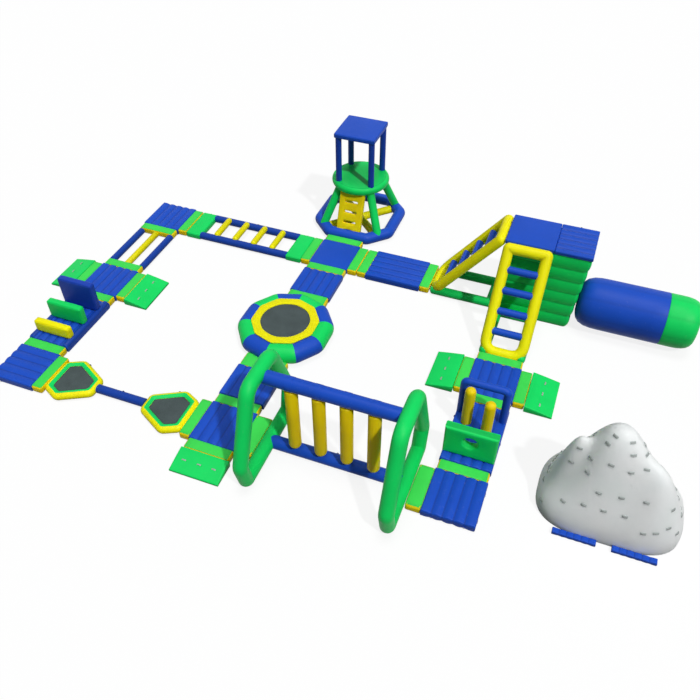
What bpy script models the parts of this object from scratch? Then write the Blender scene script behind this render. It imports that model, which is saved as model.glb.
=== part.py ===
# Inflatable aqua park: floating platforms, bridges, trampolines, a swing, an obstacle run,
# a guard tower, a jump tower with its blob, and a climbing iceberg.
# Metres, +Z up. The origin is the middle of the underside of the centre back platform,
# +X runs to the blob and +Y to the guard tower. Underside of everything: z = 0, the water.
import math

import bmesh
import bpy
from mathutils import Matrix, Vector

# Fits
SEAM = 0.0003                # gap between pieces that touch
OVERLAP = 0.03               # how far a welded piece runs into the piece it is welded to
OVERRUN = 0.05               # how far a cut runs past what it cuts
RUNNING = 0.0009             # clearance of a sling round its beam

# Roundness of tubes and edges
TUBE_SIDES = 12
FAT_TUBE_SIDES = 16
BEAM_SIDES = 48
BEND_STEPS = 3
EDGE_STEPS = 2
DOME_STEPS = 4
DOME_CAP_SHARE = 0.4         # of a step, left flat at the top of a dome

# Platforms
PLATFORM_SIDE = 2.0
PLATFORM_HEIGHT = 0.36
LONG_PLATFORM = 2.70         # the platform before the jump tower
SHORT_PLATFORM = 1.77        # the two either side of the big trampoline
RIB_COUNT = 5
RIB_DEPTH = 0.035
RIB_STEPS = 4
SLAB_EDGE = 0.06             # rounding of a smooth slab

# Lacing pads on the platforms' edges
PAD_WIDTH = 0.47
PAD_HEIGHT = 0.34
PAD_INSET = 0.03             # how much shorter a pad is than its platform, at each end
PAD_EDGE = 0.10
TUCK = 0.34                  # how far a pad reaches in beside the big trampoline's corner

# Ramps
RAMP_LENGTH = 1.15
FRONT_RAMP_LENGTH = 1.0
RAMP_WIDTH = 2.06
RAMP_TIP = 0.11
RAMP_EDGE = 0.03

# Left side: beam bridge, hurdle runway, small trampolines and balance beam
BEAM_BRIDGE_LENGTH = 2.73
BRIDGE_TUBE_RADIUS = 0.165
BRIDGE_TUBE_SPREAD = 0.84
MIDDLE_TUBE_RADIUS = 0.155
RUNWAY_RAIL_RADIUS = 0.15
RUNWAY_RAIL_HEIGHT = 0.27    # height of a rail's axis
RUNWAY_RIBS = 4
HURDLE_WIDTH = 1.80
HURDLE_PITCH = 1.0
HURDLE_THICK = 0.38
HURDLE_START = 0.58          # from the runway's back end to the tall hurdle's middle
HURDLE_EDGE = 0.12
LOW_HURDLE = 0.60
MIDDLE_HURDLE = 0.92
HIGH_HURDLE = 1.45
BALANCE_BEAM_RADIUS = 0.19
SMALL_TRAMPOLINE_LENGTH = 2.10
SMALL_TRAMPOLINE_HALF = 1.12     # half width over its widest corners
SMALL_TRAMPOLINE_BACK = 0.84     # half width of the long side
SMALL_TRAMPOLINE_NOSE = 0.50     # half width of the short side
SMALL_TRAMPOLINE_SHOULDER = 0.76
SMALL_TUBE_RADIUS = 0.18
SMALL_BORDER = 0.08          # inner border that covers the bed's edge
SMALL_BORDER_HEIGHT = 0.29
BED_THICK = 0.03
BED_CLEARANCE = 0.012        # beside the tube, all round
BORDER_THICK = 0.03

# Back side: ladder bridge
LADDER_BRIDGE_LENGTH = 6.425
BRIDGE_END_PAD = 0.84
BRIDGE_END_HEIGHT = 0.33
BRIDGE_RAIL_RADIUS = 0.19
BRIDGE_RAIL_SPREAD = 0.80
BRIDGE_RUNG_RADIUS = 0.155
BRIDGE_RUNG_HEIGHT = 0.35    # height of a rung's axis
BRIDGE_RUNG_HALF = 0.80
BRIDGE_RUNGS = 4
BRIDGE_RUNG_PITCH = 1.03

# Big trampoline
TRAMPOLINE_SIDES = 10
TRAMPOLINE_CORNER = 2.17     # outer corner radius
TRAMPOLINE_TUBE = 0.43
SKIRT_OUTER = 1.52           # half width over flats
SKIRT_INNER = 1.085
SKIRT_TOP = 0.885
SKIRT_THICK = 0.05
BIG_BED_HALF = 1.17
BIG_BED_THICK = 0.04

# Swing
SWING_TUBE = 0.28
SWING_LEFT_STANDOFF = 0.22   # how much longer the lacing pad beside the left frame is
SWING_RIGHT_STANDOFF = 0.12
SWING_FORWARD = 0.14         # of the frames and the top beam from the front row's middle
SWING_BASE_HALF = 1.84
SWING_KNEE_HALF = 2.08
SWING_KNEE_HEIGHT = 1.30
SWING_TOP_HALF = 0.90
SWING_TOP_HEIGHT = 4.20
SWING_BEND = 0.30
SWING_BEAM_RADIUS = 0.27
SWING_BEAM_HEIGHT = 4.02
FOOT_BEAM_RADIUS = 0.27
BOLSTER_RADIUS = 0.24
BOLSTER_COUNT = 4
BOLSTER_PITCH = 1.03
BOLSTER_LIFT = 0.06          # above the foot beam
SLING_WIDTH = 0.26
SLING_THICK = 0.02

# Obstacle run
WALL_HEIGHT = 1.38
WALL_THICK = 0.38
WALL_WIDTH = 2.0
WALL_EDGE = 0.10
WALL_SETBACK = 0.52          # from the run's front end to the wall's middle
HOLE_RADIUS = 0.29
HOLE_HEIGHT = 0.80           # of the crawl hole's middle above the run
HOLE_SIDES = 20
POST_RADIUS = 0.21
POST_HEIGHT = 1.90
LEFT_POST_ACROSS = 0.50
LEFT_POST_ALONG = 2.06       # from the run's front end
RIGHT_POST_ACROSS = 0.36
RIGHT_POST_ALONG = 1.62
ARCH_RADIUS = 0.155
ARCH_HEIGHT = 1.84
ARCH_ALONG = 2.55
ARCH_BEND = 0.18

# Guard tower
GUARD_HALF = 2.17
GUARD_TUBE = 0.29
GUARD_CHAMFER = 0.88
GUARD_BRACE_RADIUS = 0.20
GUARD_DECK_RADIUS = 1.45
GUARD_DECK_TOP = 2.75
GUARD_DECK_THICK = 0.40
GUARD_DECK_ROUND = 0.18
GUARD_DECK_SIDES = 32
GUARD_LEG_RADIUS = 0.205
GUARD_LEG_TOP = 0.76
GUARD_LEG_PAST = 0.06        # how far a leg's foot lies outside the middle of the ring's corner
GUARD_LEG_START = 2.50       # height of a leg's upper end, inside the deck
GUARD_POST_RADIUS = 0.15
GUARD_POST_SPREAD = 0.85
GUARD_ROOF_TOP = 5.34
GUARD_ROOF_SIDE = 2.10
GUARD_ROOF_THICK = 0.26
GUARD_LADDER_WIDTH = 1.28
GUARD_LADDER_THICK = 0.22
GUARD_LADDER_FOOT = 1.90     # distance of its foot from the tower's middle
GUARD_LADDER_HEAD = 1.14
GUARD_LADDER_LOW = 0.40
GUARD_LADDER_HIGH = 2.50
GUARD_SLOT_WIDTH = 0.66
GUARD_SLOT_HEIGHT = 0.15
GUARD_SLOTS = 3
GUARD_SLOT_PITCH = 0.52
GUARD_SLOT_START = 0.58      # from the ladder's lower end to the first slot's middle

# Jump tower
CLIMB_RUN = 3.12             # horizontal length of a climbing ladder
DECK_SIDE = 2.1
DECK_TOP = 4.0
DECK_THICK = 0.22
MAT_LENGTH = 1.60
MAT_THICK = 0.20
MAT_RIBS = 6
BODY_LAYERS = 6
BODY_RIB_DEPTH = 0.05
BODY_CORNER = 0.16
BODY_LEAN = 0.32             # how much further the body reaches at the top, on the blob's side
LADDER_TUBE = 0.235
LADDER_BAR = 0.233           # its head and foot bars
RUNG_RADIUS = 0.165
LADDER_PRESS = 0.03          # how flat its head bar is pressed against the deck
LADDER_RUNGS = 4
BASE_BEAM_RADIUS = 0.215
BASE_BEAM_SPREAD = 0.79

# Blob
BLOB_LENGTH = 5.10
BLOB_RADIUS = 1.14
BLOB_OFFSET = 0.25           # towards the front from the tower's middle
BLOB_SIDES = 28
BLOB_LAYER = 2               # the tube of the tower's body that it bears on, counted from 0

# Iceberg
ICEBERG_HALF_LENGTH = 2.50
ICEBERG_HALF_DEPTH = 1.68
ICEBERG_X = 14.46
ICEBERG_Y = -9.98
ICEBERG_SHOULDER = 1.39
ICEBERG_RISE = 2.70          # of the main peak above the shoulder
ICEBERG_FRONT_SHARE = 0.985  # of the half depth, where its front is flat
ICEBERG_SQUARENESS = 3.1     # 2 would be an ellipse
ICEBERG_STEEPNESS = 3.2
ICEBERG_RIM = 0.22
ICEBERG_SIDES = 40
STEP_MAT_LENGTH = 1.50
STEP_MAT_DEPTH = 0.22
STEP_MAT_HEIGHT = 0.16
STEP_MAT_RIBS = 2
LEFT_MAT_X = -0.94           # of each mat's middle from the iceberg's middle
RIGHT_MAT_X = 1.08

# Places worked out along the chains of modules
HALF = PLATFORM_SIDE / 2
OUTER_APOTHEM = TRAMPOLINE_CORNER * math.cos(math.pi / TRAMPOLINE_SIDES)
BIG_TRAMPOLINE_Y = -(HALF + PAD_WIDTH + SHORT_PLATFORM + PAD_WIDTH + TRAMPOLINE_CORNER)
LINK_BACK_Y = -(HALF + PAD_WIDTH + SHORT_PLATFORM / 2)
LINK_FRONT_Y = BIG_TRAMPOLINE_Y - TRAMPOLINE_CORNER - PAD_WIDTH - SHORT_PLATFORM / 2
FRONT_ROW_Y = LINK_FRONT_Y - SHORT_PLATFORM / 2 - PAD_WIDTH - HALF
LEFT_X = -(HALF + PAD_WIDTH + LADDER_BRIDGE_LENGTH + PAD_WIDTH + HALF)
LEFT_MIDDLE_Y = -(HALF + PAD_WIDTH + BEAM_BRIDGE_LENGTH + PAD_WIDTH + HALF)
LONG_PLATFORM_X = HALF + PAD_WIDTH + PAD_WIDTH + LONG_PLATFORM / 2
LADDER_FOOT_X = LONG_PLATFORM_X + LONG_PLATFORM / 2 + PAD_WIDTH
TOWER_X = LADDER_FOOT_X + CLIMB_RUN + DECK_SIDE / 2
LADDER_FOOT_Y = -(DECK_SIDE / 2 + CLIMB_RUN)
RIGHT_MIDDLE_Y = LADDER_FOOT_Y - PAD_WIDTH - HALF
GUARD_Y = HALF + PAD_WIDTH + GUARD_HALF
SWING_LEFT_X = HALF + PAD_WIDTH + SWING_LEFT_STANDOFF + SWING_TUBE
SWING_RIGHT_X = TOWER_X - HALF - PAD_WIDTH - SWING_RIGHT_STANDOFF - SWING_TUBE
SWING_Y = FRONT_ROW_Y - SWING_FORWARD

UP = Vector((0, 0, 1))
TO_SIDE = {"left": Vector((-1, 0, 0)), "right": Vector((1, 0, 0)),
           "front": Vector((0, -1, 0)), "back": Vector((0, 1, 0))}


def clear_scene():
    for piece in list(bpy.data.objects):
        bpy.data.objects.remove(piece)


def vinyl(name, colour, roughness=0.45):
    material = bpy.data.materials.new(name)
    material.use_nodes = True
    shader = material.node_tree.nodes["Principled BSDF"]
    shader.inputs["Base Color"].default_value = (*colour, 1)
    shader.inputs["Roughness"].default_value = roughness
    shader.inputs["Metallic"].default_value = 0
    material.diffuse_color = (*colour, 1)
    return material


def solid(name, bm, material):
    """An object of one closed body, its faces pointing out."""
    bmesh.ops.recalc_face_normals(bm, faces=bm.faces)
    mesh = bpy.data.meshes.new(name)
    bm.to_mesh(mesh)
    bm.free()
    mesh.materials.append(material)
    piece = bpy.data.objects.new(name, mesh)
    bpy.context.collection.objects.link(piece)
    return piece


def combine(piece, tools, operation):
    """Join the tools to the piece, or cut them from it, and drop the tools."""
    for tool in tools:
        step = piece.modifiers.new(operation.title(), "BOOLEAN")
        step.operation = operation
        step.solver = "EXACT"
        step.object = tool
    bpy.context.view_layer.update()
    state = piece.evaluated_get(bpy.context.evaluated_depsgraph_get())
    joined = bpy.data.meshes.new_from_object(state)
    piece.modifiers.clear()
    piece.data = joined
    for tool in tools:
        bpy.data.objects.remove(tool)
    return piece


def hinge_at(piece, point):
    """Put a moving piece's origin on its joint."""
    piece.data.transform(Matrix.Translation(-Vector(point)))
    piece.location = point
    return piece


def smooth(piece, degrees=40):
    piece.data.shade_smooth()
    piece.data.set_sharp_from_angle(angle=math.radians(degrees))
    return piece


def skin(rings, closed=False):
    """A surface over rings with as many points each, capped at its ends unless it is closed."""
    bm = bmesh.new()
    loops = [[bm.verts.new(point) for point in ring] for ring in rings]
    spans = len(loops) if closed else len(loops) - 1
    for index in range(spans):
        near, far = loops[index], loops[(index + 1) % len(loops)]
        for side in range(len(near)):
            after = (side + 1) % len(near)
            bm.faces.new((near[side], near[after], far[after], far[side]))
    if not closed:
        bm.faces.new(loops[0])
        bm.faces.new(loops[-1])
    return bm


def onto_plane(ring, along, point, normal):
    return [corner + along * ((point - corner).dot(normal) / along.dot(normal)) for corner in ring]


def dome(ring, centre, along, radius, steps):
    """Rings that round off a tube's end."""
    rings = []
    for step in range(1, steps + 1):
        angle = math.radians(90) * step / (steps + DOME_CAP_SHARE)
        middle = centre + along * radius * math.sin(angle)
        rings.append([middle + (corner - centre) * math.cos(angle) for corner in ring])
    return rings


def tube(name, points, radius, material, sides=TUBE_SIDES, closed=False, domes=0,
         up=UP, start_normal=None, end_normal=None):
    """A mitred tube whose flats, not its corners, lie at the radius."""
    points = [Vector(point) for point in points]
    spans = len(points) if closed else len(points) - 1
    along = [(points[(index + 1) % len(points)] - points[index]).normalized()
             for index in range(spans)]
    side = along[0].cross(up).normalized()
    lift = side.cross(along[0])
    reach = radius / math.cos(math.pi / sides)
    turns = [2 * math.pi * (corner + 0.5) / sides for corner in range(sides)]
    ring = [points[0] + reach * (math.cos(turn) * side + math.sin(turn) * lift) for turn in turns]
    rings = []
    for index, point in enumerate(points):
        before = along[index - 1] if closed or index else along[0]
        after = along[min(index, spans - 1)]
        normal = before + after
        if index == 0 and start_normal is not None:
            normal = Vector(start_normal)
        if index == len(points) - 1 and end_normal is not None:
            normal = Vector(end_normal)
        carried = along[0] if index == 0 else before
        ring = onto_plane(ring, carried, point, normal)
        rings.append(ring)
    if domes:
        rings = (dome(rings[0], points[0], -along[0], radius, domes)[::-1] + rings
                 + dome(rings[-1], points[-1], along[-1], radius, domes))
    return smooth(solid(name, skin(rings, closed), material))


def bend_corners(points, radius, closed, steps=BEND_STEPS):
    """A path with its corners rounded."""
    points = [Vector(point) for point in points]
    path = []
    for index, corner in enumerate(points):
        if not closed and index in (0, len(points) - 1):
            path.append(corner)
            continue
        before = (points[index - 1] - corner).normalized()
        after = (points[(index + 1) % len(points)] - corner).normalized()
        for step in range(steps + 1):
            share = step / steps
            path.append(corner + before * radius * (1 - share) ** 2 + after * radius * share ** 2)
    return path


def inset(outline, distance):
    """A convex outline, anticlockwise, drawn in by a distance."""
    lines = []
    for index, point in enumerate(outline):
        following = outline[(index + 1) % len(outline)]
        step = (Vector(following) - Vector(point)).normalized()
        inward = Vector((-step.y, step.x))
        lines.append((inward, inward.dot(Vector(point)) + distance))
    corners = []
    for index, (normal, offset) in enumerate(lines):
        before, before_offset = lines[index - 1]
        area = before.x * normal.y - before.y * normal.x
        corners.append(((before_offset * normal.y - offset * before.y) / area,
                        (offset * before.x - before_offset * normal.x) / area))
    return corners


def polygon(sides, half_width, turn=0):
    """Corners of a regular outline, by its half width over flats."""
    corner = half_width / math.cos(math.pi / sides)
    turns = [2 * math.pi * index / sides + turn for index in range(sides)]
    return [(corner * math.cos(angle), corner * math.sin(angle)) for angle in turns]


def plate(name, outline, low, high, centre, material, opening=None):
    """A flat plate between two heights, with an opening if one is given."""
    def ring(points, height):
        return [Vector((centre[0] + x, centre[1] + y, height)) for x, y in points]
    if opening is None:
        return solid(name, skin([ring(outline, low), ring(outline, high)]), material)
    rings = [ring(outline, low), ring(outline, high), ring(opening, high), ring(opening, low)]
    return solid(name, skin(rings, closed=True), material)


def block(name, size, centre, material, edge=SLAB_EDGE, steps=EDGE_STEPS):
    """A cushion-edged block."""
    bm = bmesh.new()
    bmesh.ops.create_cube(bm, size=1)
    bmesh.ops.scale(bm, vec=size, verts=bm.verts)
    if edge:
        bmesh.ops.bevel(bm, geom=bm.edges, offset=edge, segments=steps, profile=0.5,
                        affect="EDGES", clamp_overlap=True)
    bmesh.ops.translate(bm, vec=centre, verts=bm.verts)
    return solid(name, bm, material)


def rounded_outline(width, height, radius, steps=EDGE_STEPS):
    """A rectangle standing on zero, with round corners: (across, up) points."""
    across, up = width / 2 - radius, height / 2 - radius
    outline = []
    for quarter, (right, top) in enumerate(((1, 1), (-1, 1), (-1, -1), (1, -1))):
        for step in range(steps + 1):
            angle = math.radians(90) * (quarter + step / steps)
            outline.append((right * across + radius * math.cos(angle),
                            height / 2 + top * up + radius * math.sin(angle)))
    return outline


def ribbed_outline(width, height, ribs, depth, steps=RIB_STEPS):
    """A row of tubes welded side by side: (across, up) points of its section."""
    swell = [(share / steps, depth * (1 - math.sin(math.pi * share / steps)))
             for share in range(steps)]
    pitch = width / ribs
    under = [(pitch * (rib + share) - width / 2, dip)
             for rib in range(ribs) for share, dip in swell]
    under.append((width / 2, depth))
    over = [(-across, height - up) for across, up in under]
    return under + over


def bar(name, outline, start, end, material, up=UP):
    """A section drawn from start to end, its outline given as (across, up) points."""
    start, end = Vector(start), Vector(end)
    along = (end - start).normalized()
    side = along.cross(up).normalized()
    rings = [[point + side * across + up * rise for across, rise in outline]
             for point in (start, end)]
    return smooth(solid(name, skin(rings), material))


def lathe(name, profile, start, axis, sides, material):
    """A turned shape: (distance along the axis, radius) pairs; flats lie at the radius."""
    axis = Vector(axis)
    side = Vector((1, 0, 0)) if axis.y else Vector((0, 1, 0))
    lift = axis.cross(side)
    turns = [2 * math.pi * (corner + 0.5) / sides for corner in range(sides)]
    stand = 1 / math.cos(math.pi / sides)
    rings = [[Vector(start) + axis * along
              + radius * stand * (math.cos(turn) * side + math.sin(turn) * lift)
              for turn in turns] for along, radius in profile]
    return smooth(solid(name, skin(rings), material))


# Platforms and their lacing pads

def add_pads(piece, centre, size, pads, material):
    """Weld lacing pads to a platform's edges; pads holds each side and how far its pad reaches."""
    strips = []
    for side, reach in pads.items():
        out = TO_SIDE[side]
        depth, length = (size[0], size[1]) if out.x else (size[1], size[0])
        outline = rounded_outline(reach + OVERLAP, PAD_HEIGHT, PAD_EDGE)
        run = UP.cross(out) * (length / 2 - PAD_INSET)
        middle = Vector((*centre, 0)) + out * (depth / 2 + (reach - OVERLAP) / 2)
        strips.append(bar("pad", outline, middle - run, middle + run, material))
    return combine(piece, strips, "UNION")


def platform(name, centre, material, pads, size=(PLATFORM_SIDE, PLATFORM_SIDE), ribs_along="y"):
    """A drop-stitch platform of welded tubes, or a smooth one, with its lacing pads."""
    if ribs_along is None:
        height = (0, 0, PLATFORM_HEIGHT / 2)
        piece = block(name, (*size, PLATFORM_HEIGHT), Vector((*centre, 0)) + Vector(height),
                      material)
    else:
        along_x = ribs_along == "x"
        width, length = (size[1], size[0]) if along_x else (size[0], size[1])
        run = Vector((length / 2, 0, 0)) if along_x else Vector((0, length / 2, 0))
        outline = ribbed_outline(width, PLATFORM_HEIGHT, RIB_COUNT, RIB_DEPTH)
        middle = Vector((*centre, 0))
        piece = bar(name, outline, middle - run, middle + run, material)
    return smooth(add_pads(piece, centre, size, pads, material))


def build_platforms(blue):
    pad = PAD_WIDTH - SEAM
    platform("platform_left_front", (LEFT_X, FRONT_ROW_Y), blue,
             {"back": pad, "right": pad}, ribs_along="x")
    platform("platform_left_middle", (LEFT_X, LEFT_MIDDLE_Y), blue,
             {"front": pad, "back": pad, "left": pad, "right": pad})
    platform("platform_left_back", (LEFT_X, 0), blue, {"front": pad, "right": pad})
    platform("platform_centre_back", (0, 0), blue,
             {"left": pad, "right": pad, "front": pad, "back": pad}, ribs_along=None)
    platform("platform_right_back", (LONG_PLATFORM_X, 0), blue, {"left": pad, "right": pad},
             size=(LONG_PLATFORM, PLATFORM_SIDE), ribs_along="x")
    short = (PLATFORM_SIDE, SHORT_PLATFORM)
    near_ring = {"front": PAD_WIDTH + TUCK}
    link_back = platform("link_platform_back", (0, LINK_BACK_Y), blue, near_ring, size=short)
    link_front = platform("link_platform_front", (0, LINK_FRONT_Y), blue,
                          {"back": PAD_WIDTH + TUCK}, size=short)
    for link in (link_back, link_front):
        combine(link, [trampoline_ring("cutter", blue, SEAM)], "DIFFERENCE")
    platform("platform_centre_front", (0, FRONT_ROW_Y), blue,
             {"back": pad, "front": pad, "left": pad, "right": pad + SWING_LEFT_STANDOFF})
    platform("platform_right_front", (TOWER_X, FRONT_ROW_Y), blue,
             {"left": pad + SWING_RIGHT_STANDOFF, "back": pad})
    platform("platform_right_middle", (TOWER_X, RIGHT_MIDDLE_Y), blue,
             {"front": pad, "back": pad, "left": pad, "right": pad})


def ramp(name, edge, side, material, length=RAMP_LENGTH):
    """A wedge laced to a pad along its top edge, its tip low on the water."""
    out = TO_SIDE[side]
    across = UP.cross(out) * RAMP_WIDTH / 2
    foot = Vector((*edge, 0))
    outline = ((0, 0), (length - RAMP_EDGE, 0), (length, RAMP_EDGE),
               (length, RAMP_TIP - RAMP_EDGE), (length - RAMP_EDGE, RAMP_TIP),
               (0, PAD_HEIGHT))
    rings = [[foot + end + out * along + UP * up for along, up in outline]
             for end in (-across, across)]
    return hinge_at(solid(name, skin(rings), material), foot + UP * PAD_HEIGHT)


def build_ramps(green):
    reach = HALF + PAD_WIDTH
    ramp("ramp_left_inner", (LEFT_X + reach, LEFT_MIDDLE_Y), "right", green)
    ramp("ramp_left_outer", (LEFT_X - reach, LEFT_MIDDLE_Y), "left", green)
    ramp("ramp_right_inner", (TOWER_X - reach, RIGHT_MIDDLE_Y), "left", green)
    ramp("ramp_right_outer", (TOWER_X + reach, RIGHT_MIDDLE_Y), "right", green)
    ramp("ramp_front", (0, FRONT_ROW_Y - reach), "front", green, FRONT_RAMP_LENGTH)


# Left side

def build_beam_bridge(blue, yellow):
    back = -(HALF + PAD_WIDTH)
    tubes = (("bridge_tube_left", -BRIDGE_TUBE_SPREAD, BRIDGE_TUBE_RADIUS, blue),
             ("bridge_tube_middle", 0, MIDDLE_TUBE_RADIUS, yellow),
             ("bridge_tube_right", BRIDGE_TUBE_SPREAD, BRIDGE_TUBE_RADIUS, blue))
    for name, across, radius, material in tubes:
        x = LEFT_X + across
        tube(name, [(x, back, radius), (x, back - BEAM_BRIDGE_LENGTH, radius)], radius, material)


def runway_outline():
    """Section of the hurdle runway: ribs between two raised side rails."""
    rail = HALF - RUNWAY_RAIL_RADIUS
    floor = PLATFORM_HEIGHT - RIB_DEPTH
    dip = math.asin((floor - RUNWAY_RAIL_HEIGHT) / RUNWAY_RAIL_RADIUS)
    steps = 2 * EDGE_STEPS
    sweep = [(math.pi - dip) * step / steps for step in range(steps + 1)]
    right = [(rail + RUNWAY_RAIL_RADIUS * math.cos(angle),
              RUNWAY_RAIL_HEIGHT + RUNWAY_RAIL_RADIUS * math.sin(angle)) for angle in sweep]
    between = 2 * right[-1][0]
    pitch = between / RUNWAY_RIBS
    ribs = [(between / 2 - pitch * (rib + step / RIB_STEPS),
             floor + RIB_DEPTH * math.sin(math.pi * step / RIB_STEPS))
            for rib in range(RUNWAY_RIBS) for step in range(RIB_STEPS)]
    left = [(-across, up) for across, up in reversed(right)]
    return [(-HALF, RIB_DEPTH), (RIB_DEPTH - HALF, 0), (HALF - RIB_DEPTH, 0),
            (HALF, RIB_DEPTH)] + right + ribs[1:] + left


def build_runway(blue, green, yellow, navy):
    back = LEFT_MIDDLE_Y - HALF - PAD_WIDTH
    front = FRONT_ROW_Y + HALF + PAD_WIDTH
    bar("runway_base", runway_outline(), (LEFT_X, front, 0), (LEFT_X, back, 0), blue)
    foot = PLATFORM_HEIGHT + SEAM
    hurdles = (("hurdle_high", HIGH_HURDLE, navy), ("hurdle_middle", MIDDLE_HURDLE, green),
               ("hurdle_low", LOW_HURDLE, yellow))
    for index, (name, height, material) in enumerate(hurdles):
        y = back - HURDLE_START - index * HURDLE_PITCH
        upper = block(name, (HURDLE_WIDTH, HURDLE_THICK, height),
                      (LEFT_X, y, foot + height / 2), material, edge=HURDLE_EDGE)
        rails = [tube("cutter", [(LEFT_X + turn * (HALF - RUNWAY_RAIL_RADIUS), front,
                                  RUNWAY_RAIL_HEIGHT),
                                 (LEFT_X + turn * (HALF - RUNWAY_RAIL_RADIUS), back,
                                  RUNWAY_RAIL_HEIGHT)],
                      RUNWAY_RAIL_RADIUS + SEAM, material) for turn in (-1, 1)]
        combine(upper, rails, "DIFFERENCE")


def trampoline_outline(length_sign):
    """Tube axis of a small trampoline, long side at x = 0, nose towards length_sign."""
    radius = SMALL_TUBE_RADIUS
    back = SMALL_TRAMPOLINE_BACK - radius
    shoulder = SMALL_TRAMPOLINE_HALF - radius
    nose = SMALL_TRAMPOLINE_NOSE - radius
    upper = [(radius, back), (SMALL_TRAMPOLINE_SHOULDER, shoulder),
             (SMALL_TRAMPOLINE_LENGTH - radius, nose)]
    outline = [(x * length_sign, y) for x, y in upper]
    outline += [(x * length_sign, -y) for x, y in reversed(upper)]
    return outline[::-1] if length_sign > 0 else outline


def small_trampoline(name, centre, length_sign, yellow, grey):
    outline = trampoline_outline(length_sign)
    path = [(centre[0] + x, centre[1] + y, SMALL_TUBE_RADIUS) for x, y in outline]
    frame = tube(name + "_frame", path, SMALL_TUBE_RADIUS, yellow, closed=True)
    low = SMALL_BORDER_HEIGHT
    border = plate("border", outline, low, low + BORDER_THICK, centre, yellow,
                   opening=inset(outline, SMALL_TUBE_RADIUS + SMALL_BORDER))
    combine(frame, [border], "UNION")
    bed = plate(name + "_bed", inset(outline, SMALL_TUBE_RADIUS + BED_CLEARANCE),
                low - SEAM - BED_THICK, low - SEAM, centre, grey)
    hinge_at(bed, (*centre, low - SEAM))


def build_small_trampolines(yellow, grey, blue):
    left_x = LEFT_X + HALF + PAD_WIDTH
    right_x = -(HALF + PAD_WIDTH)
    small_trampoline("small_trampoline_left", (left_x, FRONT_ROW_Y), 1, yellow, grey)
    small_trampoline("small_trampoline_right", (right_x, FRONT_ROW_Y), -1, yellow, grey)
    start = left_x + SMALL_TRAMPOLINE_LENGTH + SEAM
    end = right_x - SMALL_TRAMPOLINE_LENGTH - SEAM
    radius = BALANCE_BEAM_RADIUS
    tube("balance_beam", [(start, FRONT_ROW_Y, radius), (end, FRONT_ROW_Y, radius)], radius, blue)


# Back side

def build_ladder_bridge(blue):
    end = -(HALF + PAD_WIDTH)
    start = end - LADDER_BRIDGE_LENGTH
    middle = (start + end) / 2
    size = (BRIDGE_END_PAD, PLATFORM_SIDE - PAD_INSET, BRIDGE_END_HEIGHT)
    height = BRIDGE_END_HEIGHT / 2
    bridge = block("ladder_bridge", size, (start + BRIDGE_END_PAD / 2, 0, height), blue)
    others = [block("pad", size, (end - BRIDGE_END_PAD / 2, 0, height), blue)]
    inner = BRIDGE_END_PAD - OVERLAP
    for y in (-BRIDGE_RAIL_SPREAD, BRIDGE_RAIL_SPREAD):
        others.append(tube("rail", [(start + inner, y, BRIDGE_RAIL_RADIUS),
                                    (end - inner, y, BRIDGE_RAIL_RADIUS)],
                           BRIDGE_RAIL_RADIUS, blue))
    for rung in range(BRIDGE_RUNGS):
        x = middle + (rung - (BRIDGE_RUNGS - 1) / 2) * BRIDGE_RUNG_PITCH
        half = BRIDGE_RUNG_HALF - BRIDGE_RUNG_RADIUS
        others.append(tube("rung", [(x, -half, BRIDGE_RUNG_HEIGHT), (x, half, BRIDGE_RUNG_HEIGHT)],
                           BRIDGE_RUNG_RADIUS, blue, domes=2))
    smooth(combine(bridge, others, "UNION"))


# Big trampoline

def trampoline_ring(name, material, extra=0):
    """The ten-sided tube; its corners face the link platforms."""
    apothem = OUTER_APOTHEM - TRAMPOLINE_TUBE
    path = [(x, BIG_TRAMPOLINE_Y + y, TRAMPOLINE_TUBE)
            for x, y in polygon(TRAMPOLINE_SIDES, apothem, math.radians(90))]
    return tube(name, path, TRAMPOLINE_TUBE + extra, material, sides=FAT_TUBE_SIDES, closed=True)


def build_big_trampoline(green, yellow, grey):
    trampoline_ring("big_trampoline_ring", green)
    centre = (0, BIG_TRAMPOLINE_Y)
    turn = math.radians(90)
    under = SKIRT_TOP - SKIRT_THICK
    skirt = plate("big_trampoline_skirt", polygon(TRAMPOLINE_SIDES, SKIRT_OUTER, turn), under,
                  SKIRT_TOP, centre, yellow,
                  opening=polygon(TRAMPOLINE_SIDES, SKIRT_INNER, turn))
    combine(skirt, [trampoline_ring("cutter", green, SEAM)], "DIFFERENCE")
    bed = plate("big_trampoline_bed", polygon(TRAMPOLINE_SIDES, BIG_BED_HALF, turn),
                under - SEAM - BIG_BED_THICK, under - SEAM, centre, grey)
    hinge_at(bed, (*centre, under - SEAM))


# Swing

def swing_frame(name, x, material, extra=0):
    """A closed fat tube that people walk through."""
    half = [(SWING_BASE_HALF, SWING_TUBE), (SWING_KNEE_HALF, SWING_KNEE_HEIGHT),
            (SWING_TOP_HALF, SWING_TOP_HEIGHT)]
    corners = half + [(-y, z) for y, z in reversed(half)]
    path = bend_corners([(x, SWING_Y + y, z) for y, z in corners], SWING_BEND, closed=True)
    return tube(name, path, SWING_TUBE + extra, material, sides=FAT_TUBE_SIDES, closed=True,
                up=Vector((1, 0, 0)))


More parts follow.
